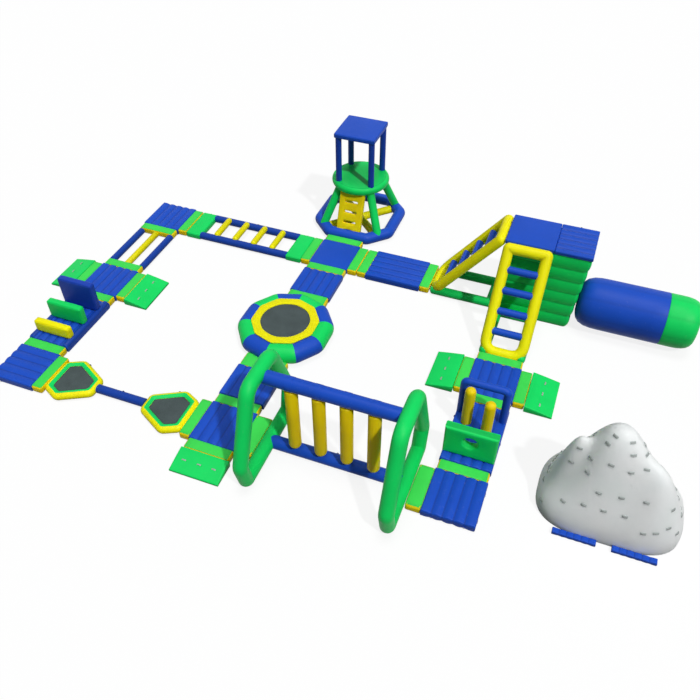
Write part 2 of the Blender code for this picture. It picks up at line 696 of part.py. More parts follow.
def bolster(name, x, material):
    """A hanging roll with a webbing sling round the top beam."""
    top = SWING_BEAM_HEIGHT
    low = 2 * FOOT_BEAM_RADIUS + BOLSTER_LIFT
    length = top - SWING_BEAM_RADIUS - low
    piece = lathe(name, roll_profile(BOLSTER_RADIUS, length), (x, SWING_Y, low + length),
                  (0, 0, -1), FAT_TUBE_SIDES, material)
    half = Vector((SLING_WIDTH / 2, 0, 0))
    middle = Vector((x, SWING_Y, top))
    outer = SWING_BEAM_RADIUS + RUNNING + SLING_THICK
    sling = tube("sling", [middle - half, middle + half], outer, material, sides=BEAM_SIDES)
    combine(piece, [sling], "UNION")
    reach = Vector((BOLSTER_RADIUS + OVERRUN, 0, 0))
    bore = tube("cutter", [middle - reach, middle + reach], SWING_BEAM_RADIUS + RUNNING, material,
                sides=BEAM_SIDES)
    return smooth(hinge_at(combine(piece, [bore], "DIFFERENCE"), middle))


def roll_profile(radius, length):
    """A roll with a flat start and a domed end."""
    straight = length - radius
    profile = [(0, radius), (straight, radius)]
    for step in range(1, DOME_STEPS + 1):
        angle = math.radians(90) * step / (DOME_STEPS + DOME_CAP_SHARE)
        profile.append((straight + radius * math.sin(angle), radius * math.cos(angle)))
    return profile


def build_swing(green, blue, yellow):
    swing_frame("swing_frame_left", SWING_LEFT_X, green)
    swing_frame("swing_frame_right", SWING_RIGHT_X, green)
    beams = (("swing_top_beam", SWING_Y, SWING_BEAM_HEIGHT, SWING_BEAM_RADIUS, BEAM_SIDES),
             ("swing_foot_beam", FRONT_ROW_Y, FOOT_BEAM_RADIUS, FOOT_BEAM_RADIUS, FAT_TUBE_SIDES))
    for name, y, height, radius, sides in beams:
        beam = tube(name, [(SWING_LEFT_X, y, height), (SWING_RIGHT_X, y, height)], radius, blue,
                    sides=sides)
        cutters = [swing_frame("cutter", x, green, SEAM) for x in (SWING_LEFT_X, SWING_RIGHT_X)]
        smooth(combine(beam, cutters, "DIFFERENCE"))
    middle = (SWING_LEFT_X + SWING_RIGHT_X) / 2
    for index in range(BOLSTER_COUNT):
        x = middle + BOLSTER_PITCH * (index - (BOLSTER_COUNT - 1) / 2)
        bolster(f"swing_bolster_{index + 1}", x, yellow)


# Obstacle run

def build_obstacles(blue, green, yellow):
    front = FRONT_ROW_Y + HALF + PAD_WIDTH
    back = RIGHT_MIDDLE_Y - HALF - PAD_WIDTH
    outline = ribbed_outline(PLATFORM_SIDE, PLATFORM_HEIGHT, RIB_COUNT, RIB_DEPTH)
    bar("obstacle_base", outline, (TOWER_X, front, 0), (TOWER_X, back, 0), blue)
    foot = PLATFORM_HEIGHT + SEAM
    wall_y = front + WALL_SETBACK
    wall = block("crawl_wall", (WALL_WIDTH, WALL_THICK, WALL_HEIGHT),
                 (TOWER_X, wall_y, foot + WALL_HEIGHT / 2), green, edge=WALL_EDGE)
    hole = lathe("cutter", [(0, HOLE_RADIUS), (WALL_THICK + 2 * OVERRUN, HOLE_RADIUS)],
                 (TOWER_X, wall_y - WALL_THICK / 2 - OVERRUN, foot + HOLE_HEIGHT), (0, 1, 0),
                 HOLE_SIDES, green)
    combine(wall, [hole], "DIFFERENCE")
    posts = (("obstacle_post_left", -LEFT_POST_ACROSS, LEFT_POST_ALONG),
             ("obstacle_post_right", RIGHT_POST_ACROSS, RIGHT_POST_ALONG))
    for name, across, along in posts:
        low = Vector((TOWER_X + across, front + along, foot))
        lathe(name, roll_profile(POST_RADIUS, POST_HEIGHT), low, (0, 0, 1), FAT_TUBE_SIDES,
              yellow)
    y = front + ARCH_ALONG
    spread = WALL_WIDTH / 2 - ARCH_RADIUS
    top = foot + ARCH_HEIGHT - ARCH_RADIUS
    path = bend_corners([(TOWER_X - spread, y, foot), (TOWER_X - spread, y, top),
                         (TOWER_X + spread, y, top), (TOWER_X + spread, y, foot)],
                        ARCH_BEND, closed=False)
    tube("obstacle_arch", path, ARCH_RADIUS, blue, up=Vector((0, 1, 0)))


# Guard tower

def guard_ring(name, material, extra=0):
    half = GUARD_HALF - GUARD_TUBE
    near = half - GUARD_CHAMFER
    quarter = ((half, -near), (half, near), (near, half), (-near, half))
    corners = quarter + tuple((-x, -y) for x, y in quarter)
    path = [(x, GUARD_Y + y, GUARD_TUBE) for x, y in corners]
    return tube(name, path, GUARD_TUBE + extra, material, sides=FAT_TUBE_SIDES, closed=True)


def guard_stand(name, material, extra=0):
    """The round deck on its four splayed legs."""
    under = GUARD_DECK_TOP - GUARD_DECK_THICK - extra
    thick = GUARD_DECK_THICK + 2 * extra
    profile = []
    for step in range(DOME_STEPS + 1):
        angle = math.pi * (step / DOME_STEPS - 1 / 2)
        profile.append((thick / 2 * (1 + math.sin(angle)),
                        GUARD_DECK_RADIUS + extra - GUARD_DECK_ROUND * (1 - math.cos(angle))))
    deck = lathe(name, profile, (0, GUARD_Y, under), (0, 0, 1), GUARD_DECK_SIDES, material)
    legs = []
    spread = GUARD_HALF - GUARD_TUBE - GUARD_CHAMFER / 2 + GUARD_LEG_PAST
    for right in (-1, 1):
        for back in (-1, 1):
            head = (right * GUARD_LEG_TOP, GUARD_Y + back * GUARD_LEG_TOP, GUARD_LEG_START)
            foot = (right * spread, GUARD_Y + back * spread, GUARD_TUBE)
            legs.append(tube("leg", [head, foot], GUARD_LEG_RADIUS + extra, material))
    return combine(deck, legs, "UNION")


def build_guard_tower(blue, green, yellow, navy):
    guard_ring("guard_base_ring", blue)
    stand = guard_stand("guard_stand", green)
    smooth(combine(stand, [guard_ring("cutter", blue, SEAM)], "DIFFERENCE"))
    reach = GUARD_HALF - GUARD_TUBE
    height = GUARD_BRACE_RADIUS
    bars = [tube("brace", [(-reach, GUARD_Y - turn * reach, height),
                           (reach, GUARD_Y + turn * reach, height)],
                 GUARD_BRACE_RADIUS, yellow) for turn in (-1, 1)]
    bars[0].name = "guard_cross_brace"
    brace = combine(bars[0], bars[1:], "UNION")
    limit = reach - GUARD_CHAMFER / 2
    keep = block("cutter", (2 * limit, 2 * limit, 2 * (2 * GUARD_BRACE_RADIUS + OVERRUN)),
                 (0, GUARD_Y, 0), yellow, edge=0)
    combine(brace, [keep], "INTERSECT")
    smooth(combine(brace, [guard_ring("cutter", blue, SEAM)], "DIFFERENCE"))
    build_guard_ladder(yellow)
    build_guard_canopy(navy)


def build_guard_ladder(yellow):
    """A stiff front panel with three step slots, from the ring to the deck's underside."""
    low = Vector((0, GUARD_Y - GUARD_LADDER_FOOT, GUARD_LADDER_LOW))
    high = Vector((0, GUARD_Y - GUARD_LADDER_HEAD, GUARD_LADDER_HIGH))
    along = (high - low).normalized()
    face = along.cross(Vector((1, 0, 0)))
    outline = rounded_outline(GUARD_LADDER_WIDTH, GUARD_LADDER_THICK, SLAB_EDGE)
    ladder = bar("guard_ladder", outline, low, high, yellow, up=face)
    slots = []
    for slot in range(GUARD_SLOTS):
        middle = low + along * (GUARD_SLOT_START + slot * GUARD_SLOT_PITCH)
        half = along * GUARD_SLOT_HEIGHT / 2
        side, over = GUARD_SLOT_WIDTH / 2, GUARD_LADDER_THICK + OVERRUN
        section = [(-side, -OVERRUN), (side, -OVERRUN), (side, over), (-side, over)]
        slots.append(bar("cutter", section, middle - half, middle + half, yellow, up=face))
    slots.append(guard_ring("cutter", yellow, SEAM))
    slots.append(guard_stand("cutter", yellow, SEAM))
    smooth(combine(ladder, slots, "DIFFERENCE"))


def build_guard_canopy(navy):
    top = GUARD_ROOF_TOP - GUARD_ROOF_THICK / 2
    canopy = block("guard_canopy", (GUARD_ROOF_SIDE, GUARD_ROOF_SIDE, GUARD_ROOF_THICK),
                   (0, GUARD_Y, top), navy)
    posts = []
    for right in (-1, 1):
        for back in (-1, 1):
            x, y = right * GUARD_POST_SPREAD, GUARD_Y + back * GUARD_POST_SPREAD
            posts.append(tube("post", [(x, y, GUARD_DECK_TOP + SEAM), (x, y, top)],
                              GUARD_POST_RADIUS, navy, up=Vector((0, 1, 0))))
    smooth(combine(canopy, posts, "UNION"))


# Jump tower

def tower_right(height):
    """How far right the tower's body reaches at a height."""
    full = DECK_TOP - DECK_THICK
    return TOWER_X + DECK_SIDE / 2 + MAT_LENGTH - BODY_LEAN * (1 - height / full)


def layer_ring(height, draw_in):
    """One level of the tower's body, drawn in at the welds between its tubes."""
    left, right = TOWER_X - DECK_SIDE / 2 + draw_in, tower_right(height) - draw_in
    half = DECK_SIDE / 2 - draw_in
    bend = BODY_CORNER
    corners = ((right, half, 0), (left, half, 90), (left, -half, 180), (right, -half, 270))
    ring = []
    for x, y, turn in corners:
        inner = Vector((x - math.copysign(bend, x - TOWER_X), y - math.copysign(bend, y)))
        for step in range(EDGE_STEPS + 1):
            angle = math.radians(turn + 90 * step / EDGE_STEPS)
            ring.append(Vector((inner.x + bend * math.cos(angle),
                                inner.y + bend * math.sin(angle), height)))
    return ring


def build_tower_body(green):
    full = DECK_TOP - DECK_THICK - SEAM
    levels = BODY_LAYERS * RIB_STEPS
    rings = []
    for level in range(levels + 1):
        swell = math.sin(math.pi * (level % RIB_STEPS) / RIB_STEPS)
        rings.append(layer_ring(full * level / levels, BODY_RIB_DEPTH * (1 - swell)))
    smooth(solid("tower_body", skin(rings), green))


def climb_ladder(name, foot, towards, material):
    """A slanted frame of fat tubes with four rungs; its head bar bears on the deck's edge."""
    out = Vector(towards)
    low, high, off = ladder_line(foot, out)
    half = UP.cross(out) * (DECK_SIDE / 2 - LADDER_TUBE)
    ladder = tube(name, [low - half, low + half], LADDER_BAR, material, up=off)
    others = [tube("bar", [high - half, high + half], LADDER_BAR, material, up=off)]
    for turn in (-1, 1):
        others.append(tube("rail", [low + half * turn, high + half * turn], LADDER_TUBE,
                           material, domes=2))
    for rung in range(1, LADDER_RUNGS + 1):
        middle = low.lerp(high, rung / (LADDER_RUNGS + 1))
        others.append(tube("rung", [middle - half, middle + half], RUNG_RADIUS, material, up=off))
    combine(ladder, others, "UNION")
    keep = bar("cutter", [(-PLATFORM_SIDE, 0), (PLATFORM_SIDE, 0), (PLATFORM_SIDE, DECK_TOP),
                          (-PLATFORM_SIDE, DECK_TOP)],
               Vector(foot) + out * SEAM, Vector(foot) + out * (CLIMB_RUN - SEAM), material)
    return smooth(combine(ladder, [keep], "INTERSECT"))


def ladder_line(foot, out):
    """Axis of a climbing ladder, from its foot to its head, and the way its steps face."""
    clear = LADDER_TUBE + SEAM
    low = Vector(foot) + out * clear + UP * LADDER_TUBE
    high = (Vector(foot) + out * (CLIMB_RUN - clear + LADDER_PRESS)
            + UP * (DECK_TOP - LADDER_TUBE))
    along = (high - low).normalized()
    return low, high, out.cross(UP).cross(along)


def ladder_base(name, foot, towards, material):
    """Two ground beams under the ladder's rails, joined by a cross beam along the tower."""
    out = Vector(towards)
    across = UP.cross(out)
    low, high, off = ladder_line(foot, out)
    under = low - off * (LADDER_TUBE + SEAM)
    height = BASE_BEAM_RADIUS
    along = (high - low).normalized()
    begin = under + along * ((height - under.z) / along.z)
    begin_distance = (begin - Vector(foot)).dot(out)
    far = CLIMB_RUN - BASE_BEAM_RADIUS - SEAM
    spread = BASE_BEAM_SPREAD
    path = []
    for distance, side in ((begin_distance, -spread), (far, -spread), (far, spread),
                           (begin_distance, spread)):
        path.append(Vector(foot) + out * distance + across * side + UP * height)
    return tube(name, path, BASE_BEAM_RADIUS, material, start_normal=off, end_normal=off)


def build_tower(blue, green, yellow):
    build_tower_body(green)
    deck_low = DECK_TOP - DECK_THICK
    block("tower_deck", (DECK_SIDE, DECK_SIDE, DECK_THICK),
          (TOWER_X, 0, deck_low + DECK_THICK / 2), blue)
    outline = ribbed_outline(DECK_SIDE, MAT_THICK, MAT_RIBS, RIB_DEPTH)
    start = TOWER_X + DECK_SIDE / 2 + SEAM
    end = TOWER_X + DECK_SIDE / 2 + MAT_LENGTH
    bar("tower_jump_mat", outline, (start, 0, deck_low), (end, 0, deck_low), blue)
    left_foot, front_foot = (LADDER_FOOT_X, 0, 0), (TOWER_X, LADDER_FOOT_Y, 0)
    climb_ladder("climb_ladder_left", left_foot, (1, 0, 0), yellow)
    climb_ladder("climb_ladder_front", front_foot, (0, 1, 0), yellow)
    ladder_base("ladder_base_left", left_foot, (1, 0, 0), green)
    ladder_base("ladder_base_front", front_foot, (0, 1, 0), green)


# Blob

def build_blob(blue):
    """The air bag: a blunt near end, a long barrel and a tapered far end."""
    end_shares = ((0, 0.42), (0.014, 0.66), (0.05, 0.86), (0.10, 0.96), (0.16, 1), (0.83, 1),
                  (0.91, 0.94), (0.965, 0.80), (1, 0.58))
    crest = (2 * BLOB_LAYER + 1) / 2 * (DECK_TOP - DECK_THICK - SEAM) / BODY_LAYERS
    start_x = tower_right(crest) + SEAM
    profile = [(BLOB_LENGTH * along, BLOB_RADIUS * radius) for along, radius in end_shares]
    blob = lathe("blob", profile, (start_x, -BLOB_OFFSET, BLOB_RADIUS), (1, 0, 0), BLOB_SIDES, blue)
    hinge_at(blob, (start_x, -BLOB_OFFSET, BLOB_RADIUS * (1 + end_shares[0][1])))


# Iceberg

def iceberg_height(x, y):
    """Height of the iceberg's skin before its sides fall away: a broad shoulder and three peaks."""
    peak_shares = ((-0.189, 0.038, 0.496, 1, 1.2), (-0.728, -0.054, 0.17, 0.51, 1.3),
                   (0.513, -0.329, 0.355, 0.60, 1))
    height = ICEBERG_SHOULDER
    for x_share, y_share, spread_share, rise_share, bluntness in peak_shares:
        away = (x - x_share * ICEBERG_HALF_LENGTH) ** 2 + (y - y_share * ICEBERG_HALF_DEPTH) ** 2
        spread = spread_share * ICEBERG_HALF_LENGTH
        height += ICEBERG_RISE * rise_share * math.exp(-(away / spread ** 2) ** bluntness)
    return height


def iceberg_ring(share, floor=False):
    """One closed line round the iceberg, at a share of its plan; on the water if floor is set."""
    ring = []
    fall = math.sqrt(1 - share ** ICEBERG_STEEPNESS)
    for index in range(ICEBERG_SIDES):
        turn = 2 * math.pi * index / ICEBERG_SIDES
        across, along = math.cos(turn), math.sin(turn)
        reach = share * (abs(across) ** ICEBERG_SQUARENESS
                         + abs(along) ** ICEBERG_SQUARENESS) ** (-1 / ICEBERG_SQUARENESS)
        x = ICEBERG_HALF_LENGTH * across * reach
        y = max(ICEBERG_HALF_DEPTH * along * reach,
                -ICEBERG_HALF_DEPTH * ICEBERG_FRONT_SHARE * share)
        height = ICEBERG_RIM + (iceberg_height(x, y) - ICEBERG_RIM) * fall
        ring.append(Vector((ICEBERG_X + x, ICEBERG_Y + y, 0 if floor else height)))
    return ring


def build_iceberg(white, blue):
    ring_shares = (1, 0.985, 0.95, 0.89, 0.80, 0.68, 0.54, 0.38, 0.20, 0.07)
    rings = [iceberg_ring(1, floor=True)] + [iceberg_ring(share) for share in ring_shares]
    smooth(solid("iceberg", skin(rings), white), 60)
    edge = ICEBERG_Y - ICEBERG_HALF_DEPTH * ICEBERG_FRONT_SHARE - SEAM
    outline = ribbed_outline(STEP_MAT_DEPTH, STEP_MAT_HEIGHT, STEP_MAT_RIBS, RIB_DEPTH)
    half = Vector((STEP_MAT_LENGTH / 2, 0, 0))
    for name, across in (("iceberg_mat_left", LEFT_MAT_X), ("iceberg_mat_right", RIGHT_MAT_X)):
        middle = Vector((ICEBERG_X + across, edge - STEP_MAT_DEPTH / 2, 0))
        mat = bar(name, outline, middle - half, middle + half, blue)
        hinge_at(mat, (ICEBERG_X + across, edge, STEP_MAT_HEIGHT))


def build_park():
    clear_scene()
    blue = vinyl("blue_vinyl", (0.03, 0.10, 0.55))
    navy = vinyl("navy_vinyl", (0.015, 0.04, 0.28))
    green = vinyl("green_vinyl", (0.02, 0.62, 0.14))
    yellow = vinyl("yellow_vinyl", (0.95, 0.80, 0.01))
    white = vinyl("white_vinyl", (0.72, 0.80, 0.78))
    grey = vinyl("bed_mesh", (0.08, 0.10, 0.10), 0.8)
    build_platforms(blue)
    build_ramps(green)
    build_beam_bridge(blue, yellow)
    build_runway(blue, green, yellow, navy)
    build_small_trampolines(yellow, grey, blue)
    build_ladder_bridge(blue)
    build_big_trampoline(green, yellow, grey)
    build_swing(green, blue, yellow)
    build_obstacles(blue, green, yellow)
    build_guard_tower(blue, green, yellow, navy)
    build_tower(blue, green, yellow)
    build_blob(blue)
    build_iceberg(white, blue)


build_park()
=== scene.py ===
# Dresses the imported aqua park: inflated skins, pads, handles, beds, fittings, light and camera.
# Metres, +Z up, in the frame of the solids, with the modules' underside at z = 0.
import math

import bmesh
import bpy
from mathutils import Matrix, Vector


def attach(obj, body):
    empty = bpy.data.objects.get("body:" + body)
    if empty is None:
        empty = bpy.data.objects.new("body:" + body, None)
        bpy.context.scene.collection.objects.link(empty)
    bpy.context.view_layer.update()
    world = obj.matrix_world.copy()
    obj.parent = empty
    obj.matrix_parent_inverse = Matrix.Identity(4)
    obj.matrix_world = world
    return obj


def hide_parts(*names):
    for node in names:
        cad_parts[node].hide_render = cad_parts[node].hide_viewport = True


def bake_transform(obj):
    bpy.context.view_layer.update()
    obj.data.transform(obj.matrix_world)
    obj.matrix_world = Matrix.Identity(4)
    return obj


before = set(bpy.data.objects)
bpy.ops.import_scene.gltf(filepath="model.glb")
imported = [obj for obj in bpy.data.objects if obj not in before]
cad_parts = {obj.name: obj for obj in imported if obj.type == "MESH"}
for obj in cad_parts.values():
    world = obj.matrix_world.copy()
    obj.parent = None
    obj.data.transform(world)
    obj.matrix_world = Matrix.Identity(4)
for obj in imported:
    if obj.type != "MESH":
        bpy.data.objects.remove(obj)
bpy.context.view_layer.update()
up = Vector((0, 0, 1))
sideways = {"left": Vector((-1, 0, 0)), "right": Vector((1, 0, 0)),
            "front": Vector((0, -1, 0)), "back": Vector((0, 1, 0))}


# Node tools

coatOutputs = {"Colour": "NodeSocketColor", "Roughness": "NodeSocketFloat",
               "Height": "NodeSocketFloat"}
noiseRange = (0.3, 0.7)      # most of a noise's values lie in here


def coatGroup(name, colour, numbers):
    group = bpy.data.node_groups.new(name, "ShaderNodeTree")
    inputs = [("Colour", "NodeSocketColor", colour)]
    inputs += [(label, "NodeSocketFloat", value) for label, value in numbers.items()]
    for label, kind, value in inputs:
        socket = group.interface.new_socket(label, in_out="INPUT", socket_type=kind)
        socket.default_value = value
    for label, kind in coatOutputs.items():
        group.interface.new_socket(label, in_out="OUTPUT", socket_type=kind)
    return group, group.nodes.new("NodeGroupInput"), group.nodes.new("NodeGroupOutput")


def addNode(tree, kind, links=None, **settings):
    node = tree.nodes.new(kind)
    for label, value in settings.items():
        setattr(node, label, value)
    for label, value in (links or {}).items():
        if isinstance(value, bpy.types.NodeSocket):
            tree.links.new(value, node.inputs[label])
        else:
            node.inputs[label].default_value = value
    return node


def mathNode(tree, operation, first, second=0.0):
    return addNode(tree, "ShaderNodeMath", {0: first, 1: second}, operation=operation).outputs[0]


def times(tree, first, second):
    return mathNode(tree, "MULTIPLY", first, second)


def spread(tree, value, fromLow, fromHigh, toLow, toHigh):
    return addNode(tree, "ShaderNodeMapRange",
                   {"Value": value, "From Min": fromLow, "From Max": fromHigh,
                    "To Min": toLow, "To Max": toHigh}).outputs["Result"]


def noiseAt(tree, place, scale, detail, **more):
    return addNode(tree, "ShaderNodeTexNoise", {"Vector": place, "Scale": scale,
                                                "Detail": detail, **more}).outputs["Fac"]


def threadsAt(tree, place, scale, way):
    return addNode(tree, "ShaderNodeTexWave", {"Vector": place, "Scale": scale},
                   bands_direction=way).outputs["Fac"]


def placeAndWeld(tree):
    return (addNode(tree, "ShaderNodeTexCoord").outputs["Object"],
            addNode(tree, "ShaderNodeAttribute", attribute_name="weld").outputs["Fac"])


def tint(tree, colour, shade):
    # the colour times a grey
    return addNode(tree, "ShaderNodeVectorMath", {0: colour, 1: shade},
                   operation="MULTIPLY").outputs[0]


# Welded vinyl: uneven colour, waterline, welds darkened both as weld lines and as painted shade
# in their creases, scuffs, soft buckles and the cloth inside

vinylLook = {"clouds": 0.7, "blotches": 7.0, "swells": 2.6, "threads": 160.0,
             "threadHeight": 0.00012, "wetEdge": 0.03, "wetBand": (0.02, 0.10, 0.80, 1),
             "scuffBand": (0.60, 0.74, 0, 1), "scuffShare": 0.16, "scuffRough": 0.25,
             "scuffColour": (0.62, 0.66, 0.66, 1), "rough": (0.42, 0.54)}


def makeVinylGroup():
    look = vinylLook
    tree, start, end = coatGroup("weldedVinyl", (0.5, 0.5, 0.5, 1), {
        "Fade": 0.06, "Weld And Crease Shade": 0.4, "Buckle": 0.004, "Scuffs": 0.3})
    given = start.outputs
    place, weld = placeAndWeld(tree)
    clouds = noiseAt(tree, place, look["clouds"], 4.0, Roughness=0.6)
    blotch = noiseAt(tree, place, look["blotches"], 6.0, Roughness=0.65)
    swell = noiseAt(tree, place, look["swells"], 2.0, Distortion=0.5)
    fade = times(tree, spread(tree, clouds, *noiseRange, -1, 1), given["Fade"])
    scuff = times(tree, spread(tree, blotch, *look["scuffBand"]), given["Scuffs"])
    level = addNode(tree, "ShaderNodeSeparateXYZ", {"Vector": place}).outputs["Z"]
    wet = mathNode(tree, "ADD", level,
                   spread(tree, blotch, *noiseRange, -look["wetEdge"], look["wetEdge"]))
    shade = times(tree, mathNode(tree, "ADD", fade, 1), spread(tree, wet, *look["wetBand"]))
    # the weld mark darkens the colour: partly the weld line's own tone, partly painted shade in
    # the crease between tubes
    crease = times(tree, weld, given["Weld And Crease Shade"])
    shade = times(tree, shade, mathNode(tree, "SUBTRACT", 1, crease))
    worn = addNode(tree, "ShaderNodeMix", {0: times(tree, scuff, look["scuffShare"]),
                                           6: tint(tree, given["Colour"], shade),
                                           7: look["scuffColour"]}, data_type="RGBA")
    rough = mathNode(tree, "ADD", spread(tree, blotch, *noiseRange, *look["rough"]),
                     times(tree, scuff, look["scuffRough"]))
    warp, weft = (threadsAt(tree, place, look["threads"], way) for way in ("DIAGONAL", "Z"))
    cloth = times(tree, times(tree, warp, weft), look["threadHeight"])
    tree.links.new(worn.outputs[2], end.inputs["Colour"])
    tree.links.new(rough, end.inputs["Roughness"])
    tree.links.new(mathNode(tree, "ADD", times(tree, swell, given["Buckle"]), cloth),
                   end.inputs["Height"])
    return tree


# Woven stuff: threads both ways, for the jumping beds and the handles' webbing

weaveLook = {"dust": 1.8, "dustShade": (0.86, 1.12), "rough": (0.85, 0.65), "height": 0.0006}


def makeWeaveGroup():
    look = weaveLook
    tree, start, end = coatGroup("wovenThread", (0.1, 0.1, 0.1, 1), {
        "Threads": 60.0, "Contrast": 0.4, "Hem Shade": 0.4})
    given = start.outputs
    place, weld = placeAndWeld(tree)
    net = times(tree, *(threadsAt(tree, place, given["Threads"], way) for way in ("X", "Y")))
    dust = noiseAt(tree, place, look["dust"], 5.0)
    shade = mathNode(tree, "ADD", spread(tree, dust, *noiseRange, *look["dustShade"]),
                     times(tree, mathNode(tree, "SUBTRACT", net, 0.5), given["Contrast"]))
    hem = mathNode(tree, "SUBTRACT", 1, times(tree, weld, given["Hem Shade"]))
    tree.links.new(tint(tree, given["Colour"], times(tree, shade, hem)), end.inputs["Colour"])
    tree.links.new(spread(tree, net, 0, 1, *look["rough"]), end.inputs["Roughness"])
    tree.links.new(times(tree, net, look["height"]), end.inputs["Height"])
    return tree


def coatedMaterial(name, group, settings, specular=0.20, sheen=0.0, glow=0.0, metal=0.0):
    material = bpy.data.materials.new(name)
    material.use_nodes = True
    tree = material.node_tree
    shader = tree.nodes["Principled BSDF"]
    made = addNode(tree, "ShaderNodeGroup", node_tree=group)
    for label, value in settings.items():
        made.inputs[label].default_value = value
    bump = addNode(tree, "ShaderNodeBump", {"Height": made.outputs["Height"], "Distance": 1.0})
    tree.links.new(made.outputs["Colour"], shader.inputs["Base Color"])
    tree.links.new(made.outputs["Roughness"], shader.inputs["Roughness"])
    tree.links.new(bump.outputs["Normal"], shader.inputs["Normal"])
    for label, value in (("Specular IOR Level", specular), ("Sheen Weight", sheen),
                         ("Subsurface Weight", glow), ("Subsurface Radius", (1, 1, 1)),
                         ("Subsurface Scale", 0.25), ("Metallic", metal)):
        shader.inputs[label].default_value = value
    material.diffuse_color = settings["Colour"]
    return material


# navy is the blue made a little darker; the darkening is painted shade for the tall hurdle and
# the guard posts, which stand in shade
vinylColours = {"blue": (0.008, 0.074, 0.525, 1), "navy": (0.008, 0.052, 0.420, 1),
                "green": (0.004, 0.705, 0.125, 1), "padGreen": (0.050, 0.725, 0.092, 1),
                # shadedYellow is a darker, more orange copy of the yellow vinyl with the same
                # slot: painted shade for upright yellow pieces that stand mostly in shade
                "yellow": (0.975, 0.890, 0.001, 1), "shadedYellow": (0.990, 0.700, 0.001, 1),
                "white": (0.900, 0.950, 0.930, 1), "grey": (0.600, 0.655, 0.640, 1)}
# how far the weld marks darken each vinyl: the weld line plus painted shade in the creases
weldAndCreaseShades = {"blue": 0.36, "navy": 0.36, "green": 0.30, "padGreen": 0.15, "yellow": 0.20,
              "shadedYellow": 0.20, "white": 0.10, "grey": 0.10}
vinylSlots = {"padGreen": "green_vinyl", "shadedYellow": "yellow_vinyl", "grey": "white_vinyl"}
# the pale vinyls let some light through
thinVinyl = {"white": 0.8, "shadedYellow": 0.5, "yellow": 0.3}
weaves = (("mesh", "jumpingMesh", (0.070, 0.094, 0.096, 1), 40.0, 0.20, 0.10, "bed_mesh"),
          ("webbing", "handleWebbing", (0.430, 0.460, 0.450, 1), 90.0, 0.25, 0.15, None))
hardStuff = (("plastic", (0.045, 0.050, 0.055, 1), 0), ("steel", (0.55, 0.56, 0.57, 1), 1))

vinylGroup, weaveGroup = makeVinylGroup(), makeWeaveGroup()
finishes = {}
for finishName, colour in vinylColours.items():
    finishes[finishName] = (coatedMaterial(
        finishName + "Vinyl", vinylGroup,
        {"Colour": colour, "Weld And Crease Shade": weldAndCreaseShades[finishName],
         "Fade": 0.03 if finishName == "white" else 0.06},
        glow=thinVinyl.get(finishName, 0)),
        vinylSlots.get(finishName, finishName + "_vinyl"))
for finishName, title, colour, threads, specular, sheen, slotTitle in weaves:
    finishes[finishName] = (coatedMaterial(title, weaveGroup, {"Colour": colour,
                                                               "Threads": threads},
                                           specular, sheen), slotTitle)
for finishName, colour, metal in hardStuff:
    finishes[finishName] = (coatedMaterial(
        finishName + "Fitting", vinylGroup,
        {"Colour": colour, "Weld And Crease Shade": 0.0, "Scuffs": 0.6}, metal=metal), None)
print("finishes made:", ", ".join(finishes))


# Shapes are (points, faces, welds); a weld of 1 marks a seam, 0 the skin between seams

def skinRings(rings, loop=False, welds=None):
    # welds holds one mark, or a list of marks, for each ring
    count = len(rings[0])
    points = [point for ring in rings for point in ring]
    faces = []
    for row in range(len(rings) if loop else len(rings) - 1):
        near, far = row * count, (row + 1) % len(rings) * count
        for index in range(count):
            after = (index + 1) % count
            faces.append((near + index, near + after, far + after, far + index))
    if not loop:
        faces += [tuple(range(count)), tuple(range(len(points) - count, len(points)))]
    marks = []
    for weld in welds or [0] * len(rings):
        marks += weld if isinstance(weld, list) else [weld] * count
    return points, faces, marks


def circleAt(centre, radius, side, lift, sides):
    return [centre + radius * (math.cos(turn) * side + math.sin(turn) * lift)
            for turn in (2 * math.pi * index / sides for index in range(sides))]


def quarterTurn(steps, blunt=False):
    # angles from 0 to a right angle, or to just short of it
    return [math.radians(90) * step / (steps + (0.15 if blunt else 0))
            for step in range(steps + 1)]


def gridFaces(rows, columns, shift=0):
    across = columns + 1
    return [(base, base + 1, base + across + 1, base + across)
            for base in (shift + i * across + j for i in range(rows) for j in range(columns))]


def closedPlate(rows, columns, levels, spotAt):
    # two grids, one over the other, closed round their rim
    spots = [spotAt(i, j, level) for level in levels
             for i in range(rows + 1) for j in range(columns + 1)]
    points, marks = (list(part) for part in zip(*spots))
    count, across = len(points) // 2, columns + 1
    rim = ([i * across for i in range(rows + 1)]
           + [rows * across + j for j in range(1, across)]
           + [i * across + columns for i in range(rows - 1, -1, -1)]
           + list(range(columns - 1, 0, -1)))
    faces = gridFaces(rows, columns) + gridFaces(rows, columns, count)
    faces += [(corner, after, after + count, corner + count)
              for corner, after in zip(rim, rim[1:] + rim[:1])]
    return points, faces, marks


def joinShapes(shapes):
    points, faces, marks = [], [], []
    for shape in shapes:
        shift = len(points)
        points += shape[0]
        faces += [tuple(index + shift for index in face) for face in shape[1]]
        marks += shape[2]
    return points, faces, marks


def moveShape(shape, change):
    return [change(point) for point in shape[0]], shape[1], shape[2]


weldedWithin, sliver = 0.0002, 0.0001      # points this close become one


